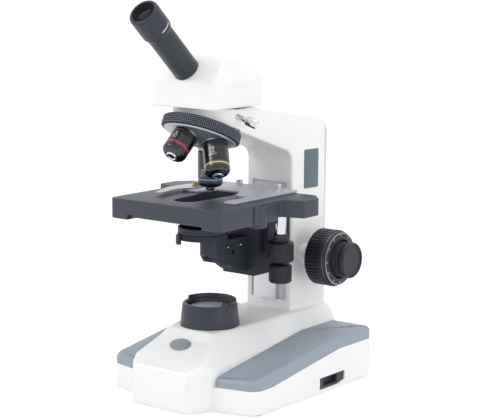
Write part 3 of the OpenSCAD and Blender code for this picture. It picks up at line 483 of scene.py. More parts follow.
# Enamels of the colour rings: a bright line, and the darker border on both sides of it
ring_enamels = {
    "red": (enamel("red_line", "#c5405a"), enamel("red_border", "#5f1626")),
    "yellow": (enamel("yellow_line", "#dcd888"), enamel("yellow_border", "#4d4a1e")),
    "blue": (enamel("blue_line", "#76b4e0"), enamel("blue_border", "#17304b")),
}
# White screen-printing ink: thin and matt
white_ink = painted("white_ink", "#dcdee2", 0.5, 0.8, 0.02)
# The same ink where fingers have worn it on the dials: greyer
worn_ink = painted("worn_ink", "#a9adb3", 0.5, 0.8, 0.02)
# Black flock paint inside the eyepiece, darker than its tube: a real matt black, deepened as painted shade in
# the recess
flock_and_shade_black = moulded("flock_and_shade_black", "#0d0e12", 0.8, 0.3, 0.2, shine=0.2)
# Optical crown glass: clear, with the faintest blue
crown_glass = glass("crown_glass", "#dfe6ee", 0.03, 0.85)
# The same glass with an anti-reflection coating, made opaque and nearly black: painted shade of the dark barrel
# behind it, with a sharp glint from the lamps
shade_painted_lens = glass("shade_painted_lens", "#0c0a10", 0.06, 0.0, shine=0.3)
# Ground glass of the lamp and its window: white and diffusing
ground_glass = glass("ground_glass", "#e6ebef", 0.35, 0.5)


# Base

# Half the width, and the ends toward the back and the front
HALF_W = 91
BACK = 153
FRONT = 77
# Front end of the two side walls, and their height before and after the rise
WING_FRONT = 42
WING_LOW, WING_HIGH = 25, 40.5
# Hump between the walls: half its width, and its top
HUMP = 47
DECK = 70
# Gap under the base, which the feet fill
FOOT = 2
# How far a cutter stands past what it cuts
OVER = 4


def wing_line(lift=0.0):
    """Top of the side walls in depth and height."""
    return [(-FRONT - OVER, WING_LOW + lift), (-19, WING_LOW + lift),
            (95, WING_HIGH + lift), (BACK + OVER, WING_HIGH + lift)]


def base_shell():
    """White cast base: two side walls with a tall middle hump and its nose."""
    plan = both_sides([(HALF_W, BACK, 3), (HALF_W, -WING_FRONT, 12), (HUMP, -WING_FRONT - 11, 0)])
    base = plan_plate("base_shell", rounded(plan), FOOT, 60)
    wall = [(-FRONT - OVER, 0)] + wing_line() + [(BACK + OVER, 0)]
    meet(base, side_plate("wing_side", wall, -HALF_W - OVER, HALF_W + OVER))

    plan = both_sides([(HUMP, BACK, 5), (HUMP, -50, 10), (36, -FRONT, 11)])
    hump = plan_plate("hump", rounded(plan, 8), FOOT, 80)
    ridge = [(BACK + OVER, 0, 0), (BACK + OVER, DECK, 0), (-30, DECK, 4), (-38, DECK - 8.5, 9),
             (-FRONT, DECK - 30, 6), (-FRONT - OVER, 0, 0)]
    meet(hump, side_plate("hump_side", rounded(ridge, 5), -60, 60))
    for side in (-1, 1):
        slice_off(hump, mm(side * 28, -30, DECK), Vector((side, -6.5 / 127, 19 / 29)))

    def above_the_walls(middle, direction, angle):
        return angle > 24 and middle.z > 36 * MM
    round_chosen(hump, 2.6, above_the_walls, 4)
    weld(base, hump)

    hollow = [(-70, -30, 4), (70, -30, 4), (70, 141, 4), (-70, 141, 4)]
    cut(base, plan_plate("hollow", rounded(hollow, 3), FOOT - OVER, 20))
    cut(base, switch_cutter("switch_hole", 0))
    bore(base, 6, -3, 14, at(42, BACK, 24) @ turn_about("X", 90), 40)
    bore(base, 24, 0, 40, at(0, 0, 46), 64)
    finished(base, "stand", white_enamel, ["base_housing"])


# Opening of the switch in the right wall: its middle, half its length, its heights and its depth
SWITCH_Y = 83.5
SWITCH_HALF = 22
SWITCH_LOW, SWITCH_HIGH = 4.4, 16.5
SWITCH_DEPTH = 9


def switch_cutter(name, grow):
    """The opening of the switch as a solid, with one low corner cut off."""
    near = SWITCH_Y - SWITCH_HALF - grow
    far = SWITCH_Y + SWITCH_HALF + grow
    outline = [(near, SWITCH_LOW - grow, 1), (SWITCH_Y + 10, SWITCH_LOW - grow, 5),
               (far, SWITCH_LOW + 2.6, 2), (far, SWITCH_HIGH + grow, 1), (near, SWITCH_HIGH + grow, 1)]
    return side_plate(name, rounded(outline, 4), HALF_W - SWITCH_DEPTH, HALF_W + 3)


def switch_parts():
    """Black frame sunk in the right wall, with its rocker tipped one way."""
    surround = switch_cutter("switch_surround", -0.1)
    cut(surround, block("outer_cut", (HALF_W - 1.4, 0, 0), (HALF_W + OVER, 200, 40)))
    cut(surround, block("rocker_room", (HALF_W - SWITCH_DEPTH + 1, SWITCH_Y - 14, 7),
                        (HALF_W, SWITCH_Y + 10, 15)))
    ease_edges(surround, 0.4, 2)
    finished(surround, "stand", collar_abs, ["switch_frame"])
    key = plan_plate("rocker_key", [(-3, -11), (1.8, -11), (3.2, 0), (1.8, 11), (-3, 11)], 7.3, 14.7)
    ease_edges(key, 0.5, 3)
    place(key, at(HALF_W - 4, SWITCH_Y - 2, 0) @ turn_about("Z", -5))
    finished(key, "rocker", knob_abs, ["power_rocker"])


def hand_pad(side):
    """Soft slate rest on one side wall, crowned along its edges."""
    pad_back = BACK - 0.4
    corners = [(HUMP + 0.1, pad_back, 0), (HUMP + 0.1, -WING_FRONT - 7, 0),
               (HUMP + 3.6, -WING_FRONT - 9.8, 1), (HALF_W, -WING_FRONT - 0.4, 13), (HALF_W, pad_back, 3.4)]
    pad = plan_plate(f"soft_pad_{hand(side)}", rounded([(side * x, y, r) for x, y, r in corners], 8), 12, 80)
    above = [(-FRONT - 9, 29), (-30, 36.5), (90, 53.8), (BACK + 9, 53.8), (BACK + 9, 100), (-FRONT - 9, 100)]
    cut(pad, side_plate("pad_side", above, -HALF_W - OVER, HALF_W + OVER))

    def along_top(middle, direction, angle):
        return angle > 55 and middle.z > 26 * MM and abs(direction.z) < 0.7 and abs(middle.x) > 48 * MM
    round_chosen(pad, 5.2, along_top, 6)
    below = [(-FRONT - OVER - 1, 0)] + wing_line(0.02) + [(BACK + OVER + 1, 0)]
    cut(pad, side_plate("wing_below", below, -HALF_W - OVER, HALF_W + OVER))
    ease_edges(pad, 0.5, 2, 45)
    finished(pad, "stand", slate_elastomer, [f"pad_{hand(side)}"])


def oval_badge():
    """Plain oval plate on the sloping front face."""
    half_width, half_height, thick = 12, 8.2, 0.9
    slope = math.atan2(22, FRONT - 38)
    turns = [FULL_TURN * i / 48 for i in range(48)]
    outline = [Vector((half_width * math.cos(a), half_height * math.sin(a), 0)) * MM for a in turns]
    badge = plate("oval_badge", outline, Vector((0, 0, thick * MM)))
    ease_edges(badge, 0.4, 3, 40)
    height = DECK - 8 - 7.5 * math.tan(slope)
    place(badge, at(0, -45.5, height - 0.1) @ Matrix.Rotation(slope, 4, "X"))
    finished(badge, "stand", badge_enamel, ["front_badge"])


# Lamp

def lamp_ring():
    """Black collar round the lamp, its rim raised over most of the turn."""
    profile = [(29.4, 0), (29.5, 0.8), (27.2, 21.2), (26.4, 22.3), (26.1, 25.6), (25.6, 26), (24.6, 26),
               (24.2, 25.6), (23.8, 22.4), (22.2, 21.6), (20.9, 16), (21.9, 13.4), (21.9, 8), (19, 8),
               (21, 0), (29.4, 0)]
    collar = place(turned("lamp_ring", profile, 96), at(0, 0, DECK))
    low_rim = DECK + 22.45
    front_step = [(0, 0), (-60, -5), (-60, -60), (60, -60), (60, -24)]
    side_gap = [(0, 0), (60, -10), (60, -3)]
    for name, outline in (("front_step", front_step), ("side_gap", side_gap)):
        cut(collar, plan_plate(name, outline, low_rim, DECK + 40))
    ease_edges(collar, 0.3, 2, 50)
    finished(collar, "stand", collar_abs, ["lamp_collar"])


def filter_glass():
    """Frosted window that lies on the step inside the collar."""
    profile = [(0, 0), (20.3, 0), (20.6, 0.3), (20.6, 1.4), (20.3, 1.7), (0, 1.7)]
    window = place(turned("filter_glass", profile, 64), at(0, 0, DECK + 16.4))
    finished(window, "stand", ground_glass)


# Column and arm

# Half widths of the arm at the back, of the column's front and of the round nose
ARM = 34.5
COLUMN = 28
NOSE = 36.5
# Front face of the column, and the top of the recess in it
THROAT = 97
RECESS_TOP = 203
# Point where the axis of the nosepiece meets the light path, its tilt, and how far below the arm ends
APEX = 295.7
TILT = 24
NOSE_DEPTH = 28.19
# Shaft of the focus knobs
FOCUS_Y, FOCUS_Z = 118.5, 127


def arm_face(y):
    """Height of the arm's tilted underside."""
    tilt = math.radians(TILT)
    return APEX - (NOSE_DEPTH + y * math.sin(tilt)) / math.cos(tilt)


def arm_shell():
    """White casting of column and arm, with its round nose under the head."""
    outline = both_sides([(ARM, BACK, 5), (COLUMN, THROAT, 120), (NOSE, 0, 0)])
    arm = plan_plate("arm_shell", rounded(outline), 60, 300)
    weld(arm, place(rod("nose", NOSE, 0, 240, 96), at(0, 0, 60)))
    side = [(THROAT, 70, 0), (THROAT, 234, 14), (6, arm_face(6), 0), (-38, arm_face(-38), 0), (-38, 286.5, 0),
            (23, 286.5, 8), (BACK - 2, 267, 17), (BACK, 70, 0)]
    meet(arm, side_plate("arm_side", rounded(side, 8), -50, 50))

    def edge_of_arm(middle, direction, angle):
        return angle > 50 and middle.y > AXIS_Y - 6 * MM and middle.z > 75 * MM
    round_chosen(arm, 2.4, edge_of_arm, 4)
    hub = [(0, -48.2), (10, -48.2), (10.6, -47.6), (10.6, 47.6), (10, 48.2), (0, 48.2)]
    weld(arm, place(turned("hub", hub, 64), knob_place(1)))
    cut(arm, block("front_recess", (-22, THROAT - 2, 80), (22, THROAT + 4, RECESS_TOP)))
    cut(arm, block("rack_slot", (-21.5, THROAT - 1, 82), (-14.8, 134, RECESS_TOP - 2)))
    bore(arm, 8, -60, 60, knob_place(1), 48)
    bore(arm, 21.3, 0, 20, at(0, 0, 280.2), 64)
    bore(arm, 11, 0, 160, at(0, 0, 170), 48)
    bore(arm, 2.6, 0, 24, lock_place(-14), 24)
    finished(arm, "stand", white_enamel, ["arm_casting"])


def lock_place(along):
    """Axis of the lock screw, from a point this far along it."""
    return at(NOSE, -4, 279) @ turn_about("Y", 106) @ Matrix.Translation((0, 0, along * MM))


def lock_screw():
    """Chrome thumb screw that holds the head, with a smooth round grip."""
    profile = [(0, -13), (2.5, -13), (2.5, 11), (3.4, 11.4), (4.2, 12), (4.5, 12.6), (4.5, 21.8), (4.2, 23.2),
               (3.5, 24.2), (3.1, 23.9), (0, 23.9)]
    screw = place(turned("lock_screw", profile, 40), lock_place(0))
    finished(screw, "lock_screw", chrome_plate, ["head_lock_screw"])


def label_plate():
    """Plain slate plate on the right flank."""
    wide, high, thick = 21.5, 40, 0.5
    corners = rounded([(0, 0, 1), (wide, 0, 1), (wide, high, 1), (0, high, 1)], 3)
    label = plate("label_plate", [Vector((0, y, z)) * MM for y, z in corners], Vector((thick * MM, 0, 0)))
    ease_edges(label, 0.15, 2, 50)
    flank = math.degrees(math.atan2(ARM - COLUMN, BACK - THROAT))
    along = (115.5 - THROAT) / math.cos(math.radians(flank))
    place(label, at(COLUMN, THROAT, 195.2) @ turn_about("Z", -flank) @ Matrix.Translation((0, along * MM, 0)))
    finished(label, "stand", label_film, ["side_label"])


# Head and eyepiece

# Half the width, and the ends toward the front and the back
HEAD_HALF = 41.5
HEAD_FRONT = 46
HEAD_BACK = 34
HEAD_LOW = 288
# Rise of the eyepiece axis, and where it leaves the light path
EYE_ANGLE = 42
MIRROR_Z = 290.7
eye_place = at(0, 0, MIRROR_Z) @ turn_about("X", 90 - EYE_ANGLE)


def head_shell():
    """White head: vertical sides, a front slope square to the tube, and a long back slope."""
    low = HEAD_LOW
    plan = both_sides([(HEAD_HALF, HEAD_BACK, 8), (HEAD_HALF, -HEAD_FRONT, 9)])
    head = plan_plate("head_shell", rounded(plan), low, 350)
    side = [(-HEAD_FRONT, low, 0), (-HEAD_FRONT, low + 25.5, 9), (-20.8, low + 53.5, 9), (18, low + 34, 26),
            (HEAD_BACK, low + 21, 9), (HEAD_BACK, low, 0)]
    meet(head, side_plate("head_side", rounded(side), -60, 60))
    front = both_sides([(HEAD_HALF - 5, low + 54, 9), (HEAD_HALF, low + 24, 14), (HEAD_HALF, low, 0)])
    meet(head, front_plate("head_front", rounded(front, 5), -60, 60))
    soften(head, 0.8, 10)
    tube_bore = [(0, 12), (11, 12), (11, 36), (12.75, 36), (12.75, 90), (0, 90)]
    cut(head, place(turned("tube_bore", tube_bore, 64), eye_place))
    cut(head, block("prism_room", (-11.5, -13, 280), (11.5, 13, 310)))
    finished(head, "head", white_enamel, ["head_housing"], 32)


def eye_tube():
    """Satin black tube that carries the eyepiece."""
    profile = [(11.6, 36.1), (12.7, 36.1), (12.7, 101.6), (12.5, 103.4), (11.6, 103.4), (11.6, 36.1)]
    tube = place(turned("eye_barrel", profile, 96), eye_place)
    finished(tube, "head", anodised_black, ["eye_tube"])


def eyepiece():
    """Eyepiece with a stepped skirt, a round rim and a cone down to its lens."""
    profile = [(9.5, 69.5), (11.55, 69.5), (11.55, 103.6), (13.2, 103.7), (13.6, 105), (14.7, 107.5),
               (14.75, 110), (14.75, 129.5), (14.6, 131), (14.1, 132.4), (13.2, 133.2), (12.3, 133.3),
               (11.6, 132.6), (7.6, 129.6), (6.5, 129.4), (6.5, 123.5), (9.5, 123.5), (9.5, 69.5)]
    body = turned("eyepiece_shell", profile, 96)
    body.data.materials.append(anodised_black)
    # The cone and bore inside the rim get the darker black: painted shade in the recess
    paint_faces(body, flock_and_shade_black, lambda c, n: c.z > 123 * MM and off_axis(c) < 11.5)
    place(body, eye_place)
    pointer_mark()
    finished(body, "eyepiece", anodised_black, ["eyepiece_body"])


def pointer_mark():
    """White index line round part of the eyepiece."""
    radius, low, half_sweep, steps = 14.78, 111, 25, 14
    turns = [math.radians(half_sweep * (2 * i / steps - 1)) for i in range(steps + 1)]
    arc = drawn("pointer_mark", [Vector((radius * math.cos(a), radius * math.sin(a), low)) * MM for a in turns])
    bpy.ops.mesh.extrude_region_move(TRANSFORM_OT_translate={"value": (0, 0, MM)})
    clean_up()
    thick = arc.modifiers.new("thick", "SOLIDIFY")
    thick.thickness = 0.06 * MM
    apply_step(arc, thick)
    place(arc, eye_place)
    finished(arc, "eyepiece", white_ink)


# Nosepiece and objectives

turret_place = at(0, 0, APEX) @ turn_about("X", 180 - TILT)
# Distance from the apex to the shoulder that each objective sits on
SHOULDER = 51
# Radius of a barrel, and the ends of the colour ring above and below its place
BARREL = 12.3
BAND_LOW, BAND_HIGH = -1.6, 2.8
# Each barrel's turn on the nosepiece, and the place of its colour ring below the flange
BARRELS = {"low": (180, 17), "mid": (-90, 24.2), "high": (0, 28.6)}


def objective_place(turn):
    """Axis of an objective, from its shoulder down."""
    return (at(0, 0, APEX) @ turn_about("X", -TILT) @ turn_about("Z", turn) @ turn_about("X", TILT)
            @ turn_about("X", 180) @ Matrix.Translation((0, 0, SHOULDER * MM)))


def grip_ring():
    """Rubber grip of the nosepiece with square studs in five rows."""
    top = 29.19
    inside, root = 36.1, 38.2
    profile = [(inside, top), (37.2, top), (38, top + 0.5)] + wall_rows(root, top + 0.9, top + 9.9, 5)
    profile += [(38, top + 10.3), (37.2, top + 10.8), (inside, top + 10.8), (inside, top)]
    ring = turned("grip_ring", profile, 120)
    raise_studs(ring, lambda c, n: off_axis(c) > root - 0.15 and abs(n.z) < 0.1, 0.36, 0.7)
    ring.data.materials.append(grip_rubber)
    # Paler stud tops: a painted highlight
    paint_faces(ring, stud_highlight_rubber, lambda c, n: off_axis(c) > root + 0.65)
    place(ring, turret_place)
    finished(ring, "turret", grip_rubber, ["nosepiece_grip"], 50)


def objective(which, length, tip_r, nose_l, inner_r=3.2):
    """Thin chrome flange, black barrel grooved for its colour ring, and a dark dome with a small tip."""
    turn, band_at = BARRELS[which]
    dome = length - nose_l
    fall = BARREL - tip_r - 1.4
    groove_r = BARREL - 0.8
    groove_low, groove_high = band_at + BAND_LOW - 0.05, band_at + BAND_HIGH + 0.05
    profile = [(inner_r, -4.5), (9.9, -4.5), (9.9, 0), (11.9, 0), (12, 0.6), (11.4, 0.8), (11.4, 1.3),
               (12, 1.6), (BARREL, 2.2), (BARREL, 6.4), (BARREL - 0.3, 6.6), (BARREL - 0.3, 7), (BARREL, 7.2),
               (BARREL, groove_low), (groove_r, groove_low), (groove_r, groove_high), (BARREL, groove_high),
               (BARREL, dome - 1)]
    profile += [(BARREL - fall * (1 - math.cos(a)), dome + (nose_l - 1.4) * math.sin(a))
                for a in map(math.radians, (6, 18, 32, 46, 62, 78))]
    profile += [(tip_r + 0.9, length - 1.2), (tip_r, length - 0.3), (tip_r - 0.5, length),
                (inner_r + 1.4, length), (inner_r, length - 0.8), (inner_r, -4.5)]
    barrel = turned(f"{which}_barrel", profile, 72)
    barrel.data.materials.append(barrel_lacquer)
    paint_faces(barrel, chrome_plate, lambda c, n: c.z < 0.7 * MM)
    paint_faces(barrel, black_chrome, lambda c, n: c.z > (dome + 0.6) * MM and off_axis(c) < 11.6)
    paint_faces(barrel, chrome_plate, lambda c, n: c.z > (length - 1.1) * MM and off_axis(c) < tip_r + 0.8)
    place(barrel, objective_place(turn))
    finished(barrel, "turret", barrel_lacquer, [f"objective_{which}"], 30)


def colour_ring(which, colour_name):
    """Enamel ring in the groove of a barrel: a bright line between two darker borders."""
    turn, band_at = BARRELS[which]
    line, border = ring_enamels[colour_name]
    outside, inside = BARREL - 0.04, BARREL - 0.7
    low, high, line_high = band_at + BAND_LOW, band_at + BAND_HIGH, band_at + 0.9
    profile = [(inside, low), (outside, low), (outside, band_at), (outside, line_high), (outside, high),
               (inside, high), (inside, low)]
    ring = turned(f"{colour_name}_ring", profile, 72)
    ring.data.materials.append(border)
    paint_faces(ring, line, lambda c, n: band_at * MM < c.z < line_high * MM and off_axis(c) > 12)
    place(ring, objective_place(turn))
    finished(ring, "turret", border, [f"band_{which}"], 30)


def written(words, size, thick, align_y):
    """Text as a thin mesh, centred across."""
    only(None)
    bpy.ops.object.text_add(location=(0, 0, 0))
    text = bpy.context.object
    text.data.body = words
    text.data.size = size * MM
    text.data.align_x = "CENTER"
    text.data.align_y = align_y
    text.data.extrude = thick * MM
    bpy.ops.object.convert(target="MESH")
    return text


def barrel_numbers(which, rows, down, facing):
    """White figures round a barrel: rows of (text, height of its letters), from a place below the flange."""
    lines = []
    for words, size in rows:
        line = written(words, size, 0.04, "TOP_BASELINE")
        down += size
        for spot in line.data.vertices:
            turned_by = math.radians(facing) - spot.co.x / (BARREL * MM)
            reach = (BARREL + 0.02) * MM + spot.co.z
            spot.co = (reach * math.cos(turned_by), reach * math.sin(turned_by), down * MM - spot.co.y)
        lines.append(line)
    numbers = gather(f"{which}_numbers", lines)
    place(numbers, objective_place(BARRELS[which][0]))
    finished(numbers, "turret", white_ink)


def sprung_nose():
    """Spring-loaded silver end of the longest objective."""
    profile = [(0, 33.9), (4.7, 33.9), (4.7, 38.9), (4.4, 39.3), (3.5, 40.5), (3.1, 40.7), (1.9, 40.7),
               (1.6, 40.1), (0, 39.9)]
    nose = place(turned("sprung_end", profile, 48), objective_place(BARRELS["high"][0]))
    finished(nose, "sprung_nose", chrome_plate, ["objective_high_nose"])


# Focus knobs

# Faces round a coarse knob, of which every third is a trough
RIB_FACES = 144
# Figures on its dial
DIAL_FIGURES = 12


def knob_place(side):
    """Axis of the focus shafts, from the middle of the column outward."""
    return at(0, FOCUS_Y, FOCUS_Z) @ turn_about("Y", 90 * side)


def coarse_knob(side):
    """Coarse knob: ribbed drum, plain ring, and a dial face between two bright lines."""
    drum, rib_low, rib_high = 28.8, 50.6, 65
    profile = [(5.05, 49.5), (24, 48.6), (27.4, 49.2), (drum, rib_low), (drum, rib_high), (28.9, 65.6),
               (29, 66.2), (29, 69.6), (28.6, 70.6), (28.1, 70.8), (28.1, 71.3), (27.5, 73.4), (26.6, 74.6),
               (25.9, 74.8), (22, 75.2), (21, 75.7), (20.1, 75.8), (19.7, 75.3), (19.7, 67.5), (5.05, 67.5),
               (5.05, 49.5)]
    knob = turned(f"coarse_{hand(side)}", profile, RIB_FACES)

    def trough(c, n):
        return rib_low * MM < c.z < rib_high * MM and off_axis(c) > 28 and sector(c, RIB_FACES) % 3 == 0
    raise_studs(knob, trough, 0.1, -1.1)
    knob.data.materials.append(knob_abs)
    paint_faces(knob, ground_steel, lambda c, n: 70.75 * MM < c.z < 71.35 * MM and off_axis(c) > 28)
    paint_faces(knob, ground_steel, lambda c, n: c.z > 74.6 * MM and 25.9 < off_axis(c) < 26.6)
    place(knob, knob_place(side))
    finished(knob, "coarse_drive", knob_abs, [f"coarse_knob_{hand(side)}"], 30)


def dial_numbers(side):
    """Pale figures of the dial, in steps of ten round the face."""
    figures = []
    for i in range(DIAL_FIGURES):
        figure = written(str(10 * i), 3.4, 0.05, "CENTER")
        out = Matrix.Translation((0, 24 * MM, 75.08 * MM))
        figures.append(place(figure, turn_about("Z", -360 / DIAL_FIGURES * i) @ out))
    numbers = gather(f"dial_{hand(side)}", figures)
    place(numbers, knob_place(side))
    finished(numbers, "coarse_drive", worn_ink)


def fine_knob(side):
    """Fine knob: squared studs round the grip, then a plain chamfered end with a sunk face."""
    root, low, high = 17.6, 72.4, 83.4
    profile = [(2.65, 67.9), (17.2, 67.9), (17.7, 68.5)] + wall_rows(root, low, high, 5)
    profile += [(18.1, 83.8), (18.4, 84.2), (18.4, 87.6), (18, 88.8), (17.2, 89.7), (16.4, 90), (15.9, 89.9),
                (15.3, 88.7), (0, 88.4), (0, 84.2), (2.65, 84.2), (2.65, 67.9)]
    knob = turned(f"fine_{hand(side)}", profile, 54)
    raise_studs(knob, lambda c, n: low * MM < c.z < high * MM and off_axis(c) > root - 0.3, 0.4, 0.75)
    knob.data.materials.append(knob_abs)
    # The tops of the studs get the paler ABS: a painted highlight
    paint_faces(knob, stud_highlight_abs, lambda c, n: low * MM < c.z < high * MM and off_axis(c) > root + 0.6)
    place(knob, knob_place(side))
    finished(knob, "fine_drive", knob_abs, [f"fine_knob_{hand(side)}"], 40)


# Stage

STAGE_TOP = 198.6
STAGE_LOW = 181.6
STAGE_HALF = 68.5
STAGE_FRONT = 70
# Inner side of the skirts under the stage
SKIRT = 46
# Shaft of the stage drive
DRIVE_X, DRIVE_Y = 47, 53
# Slide holder: its two heights, its screws, and the pivot of its finger
HOLDER_LOW = 198.9
HOLDER_TOP = 201.3
SCREWS_X, SCREWS_Y = (-10, 38), 59.5
PIVOT_X, PIVOT_Y = -36, 22


def half_circle(radius, middle_y, start):
    """Points of half a circle in plan, its middle on the centre line."""
    turns = [start + math.pi * i / 24 for i in range(25)]
    return [(radius * math.cos(a), middle_y + radius * math.sin(a)) for a in turns]


def stage_skirt(side):
    """Deep lip under one side of the stage."""
    corners = [(side * SKIRT, -STAGE_FRONT, 0), (side * STAGE_HALF, -STAGE_FRONT, 5),
               (side * STAGE_HALF, 18, 0), (side * SKIRT, 18, 0)]
    skirt = plan_plate("skirt", rounded(corners, 5), STAGE_LOW - 3, STAGE_LOW + 1.5)

    def lower_edge(middle, direction, angle):
        return angle > 50 and middle.z < (STAGE_LOW - 2.5) * MM
    round_chosen(skirt, 1.2, lower_edge, 3)
    return skirt


def stage_table():
    """Black stage: flat top with rear wings, a deep skirt, and an opening for the light."""
    corners = [(STAGE_HALF, -STAGE_FRONT, 5), (STAGE_HALF, 24, 2), (91, 31, 2), (91, 55, 4), (78, 69, 3)]
    table = plan_plate("stage_table", rounded(both_sides(corners), 5), STAGE_LOW, STAGE_TOP)
    ease_edges(table, 0.9, 3, 25)
    for side in (-1, 1):
        weld(table, stage_skirt(side))
        boss = turned("boss", [(0, 0), (8.4, 0), (9, 0.6), (9, 20.9), (8.4, 21.5), (0, 21.5)], 56)
        weld(table, place(boss, at(side * 61.9, -5, STAGE_LOW - 7)))
    opening = half_circle(16, 12, 0) + half_circle(13, -35, math.pi)
    cut(table, plan_plate("opening", opening, STAGE_LOW - 2, STAGE_TOP + 2))
    cut(table, block("front_notch", (-SKIRT - 0.2, -STAGE_FRONT - 2, STAGE_LOW - 4),
                     (-40, -66, STAGE_LOW + 2.4)))
    for side in (-1, 1):
        bore(table, 2.5, 0, 18.5, at(side * STAGE_HALF, -20, STAGE_LOW - 4), 32)
        for near in (-62, -16):
            low = (side * 38 - 9, near, STAGE_LOW - 1)
            high = (side * 38 + 9, near + 34, STAGE_LOW + 3)
            cut(table, block("under_panel", low, high))
    cut(table, block("rail_pocket", (-38.3, 31, 193.3), (52.3, 90, 210)))
    slot = [(DRIVE_X - 6, 33, 5.5), (DRIVE_X + 6, 33, 5.5), (DRIVE_X + 6, 90, 0), (DRIVE_X - 6, 90, 0)]
    cut(table, plan_plate("shaft_slot", rounded(slot), 170, 195))
    finished(table, "carriage", stage_coat, ["stage_plate"], 30)


def slide_holder():
    """Satin L-plate that holds the slide, with its guide key below."""
    outline = [(-42, 72, 4), (-42, 5, 5), (-19, 5, 3), (-12, 26.5, 5), (16, 26.5, 4), (26, 7, 3),
               (29, 4.8, 0.6), (42.7, 4.8, 0), (42.7, -33, 2), (55.2, -33, 4), (55.2, 72, 4)]
    holder = plan_plate("slide_holder", rounded(outline, 5), HOLDER_LOW, HOLDER_TOP)
    ease_edges(holder, 0.35, 2, 30)
    weld(holder, block("key", (-16, 56.5, 195.8), (30, 62.5, HOLDER_LOW + 0.5)))
    for x in SCREWS_X:
        bore(holder, 1.6, -0.2, 6, at(x, SCREWS_Y, 199.3), 24)
    bore(holder, 1.6, -4, 6, at(PIVOT_X, PIVOT_Y, 199), 24)
    finished(holder, "holder", blasted_aluminium, ["specimen_holder"])


def thumb_screws():
    """Two small chrome thumb screws on the holder."""
    profile = [(0, -2), (1.5, -2), (1.5, 0), (3, 0), (3, 1), (3.3, 1.3), (3.3, 5.4), (3, 5.9), (2.2, 6), (0, 6)]
    screws = []
    for x in SCREWS_X:
        screw = turned("thumb_screw", profile, 28)
        raise_studs(screw, lambda c, n: 1.4 * MM < c.z < 5.3 * MM and off_axis(c) > 3, 0.1, -0.15)
        screws.append(place(screw, at(x, SCREWS_Y, HOLDER_TOP)))
    finished(gather("thumb_screws", screws), "holder", chrome_plate, ["holder_screws"])


def crescent_finger():
    """Thin steel finger, cut as a crescent, that presses on the slide."""
    px, py = PIVOT_X, PIVOT_Y
    outline = [(px + 6, py + 6, 5), (px - 14, py + 9, 4), (px - 17, -2, 10), (px - 4, -36.5, 2.5),
               (px + 3.5, -34.5, 2.5), (px - 2, -8, 8), (px + 7, py - 8, 5)]
    finger = plan_plate("crescent_finger", rounded(outline, 7), 201.8, 202.6)
    bore(finger, 2.05, -3, 3, at(px, py, 202), 24)
    ease_edges(finger, 0.2, 2, 40)
    finished(finger, "finger", ground_steel, ["spring_finger"])


def drive_sleeve():
    """Black stepped collar and bright tube that the shafts of the stage drive run in."""
    inside, low, step = 3.3, 151.6, 158.9
    profile = [(inside, low), (8.6, low), (8.8, 152.2), (8.8, 153.6), (7.2, 154), (7.2, 158.4), (6.7, step),
               (inside, step), (inside, low)]
    collar = place(turned("drive_collar", profile, 56), at(DRIVE_X, DRIVE_Y, 0))
    finished(collar, "carriage", collar_abs)
    outside, high = 5.5, 193.6
    profile = [(inside, step), (outside, step), (outside, high), (inside, high), (inside, step)]
    tube = place(turned("drive_tube", profile, 56), at(DRIVE_X, DRIVE_Y, 0))
    finished(tube, "carriage", chrome_plate, ["coax_sleeve"])


def drive_knob(letter, radius, low, high, shaft):
    """Ribbed knob of the stage drive, with its shaft."""
    ribs_low, ribs_high, faces = low + 1.6, high - 1.6, 96
    profile = [(0, low), (radius - 1.6, low), (radius - 0.4, low + 0.9), (radius, ribs_low),
               (radius, ribs_high), (radius - 0.4, high - 0.9), (radius - 1.4, high)] + shaft
    knob = turned(f"{letter}_drive_knob", profile, faces)

    def rib_gap(c, n):
        return ribs_low < c.z / MM < ribs_high and off_axis(c) > radius - 0.3 and sector(c, faces) % 2 == 0
    raise_studs(knob, rib_gap, 0.12, -0.35)
    place(knob, at(DRIVE_X, DRIVE_Y, 0))
    finished(knob, f"{letter}_knob", knob_abs, [f"stage_{letter}_knob"], 45)


# Finishes of the pieces that keep their built shape
KEPT = {
    "base_plate": foot_rubber, "rubber_feet": foot_rubber, "base_screws": ground_steel,
    "power_inlet": collar_abs, "lamp_module": pale_abs, "lamp_lens": ground_glass, "front_cover": pale_abs,
    "guide_rail": rail_steel, "shaft_bushes": turned_brass, "nosepiece_base": ground_steel,
    # Lenses: opaque dark glass, painted shade of the barrels behind them
    "head_flange": black_powder_coat, "head_prism": crown_glass, "eyepiece_lenses": shade_painted_lens,
    "nosepiece_turret": turret_aluminium, "port_plug": collar_abs, "front_lenses": shade_painted_lens,
    "coarse_shaft": ground_steel, "focus_pinion": turned_brass, "fine_shaft": ground_steel,
    "focus_carriage": black_powder_coat, "focus_rack": ground_steel, "condenser_arm": black_powder_coat,
    "carriage_screws": chrome_plate, "condenser_housing": black_powder_coat, "condenser_lens": crown_glass,
    "diaphragm_disc": knob_abs, "cross_rail": ground_steel, "finger_pivot": turned_brass,
}

for node, material in KEPT.items():
    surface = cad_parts[node]
    surface.data.materials.clear()
    surface.data.materials.append(material)

base_shell()
switch_parts()
hand_pad(1)
hand_pad(-1)
oval_badge()
lamp_ring()
filter_glass()
arm_shell()
lock_screw()
label_plate()
head_shell()
eye_tube()
eyepiece()
grip_ring()
objective("low", 28.5, 4.8, 7)
objective("mid", 35, 4.4, 7)
objective("high", 38.3, 5.3, 5.4, inner_r=4.75)
for which, colour_name in (("low", "red"), ("mid", "yellow"), ("high", "blue")):
    colour_ring(which, colour_name)
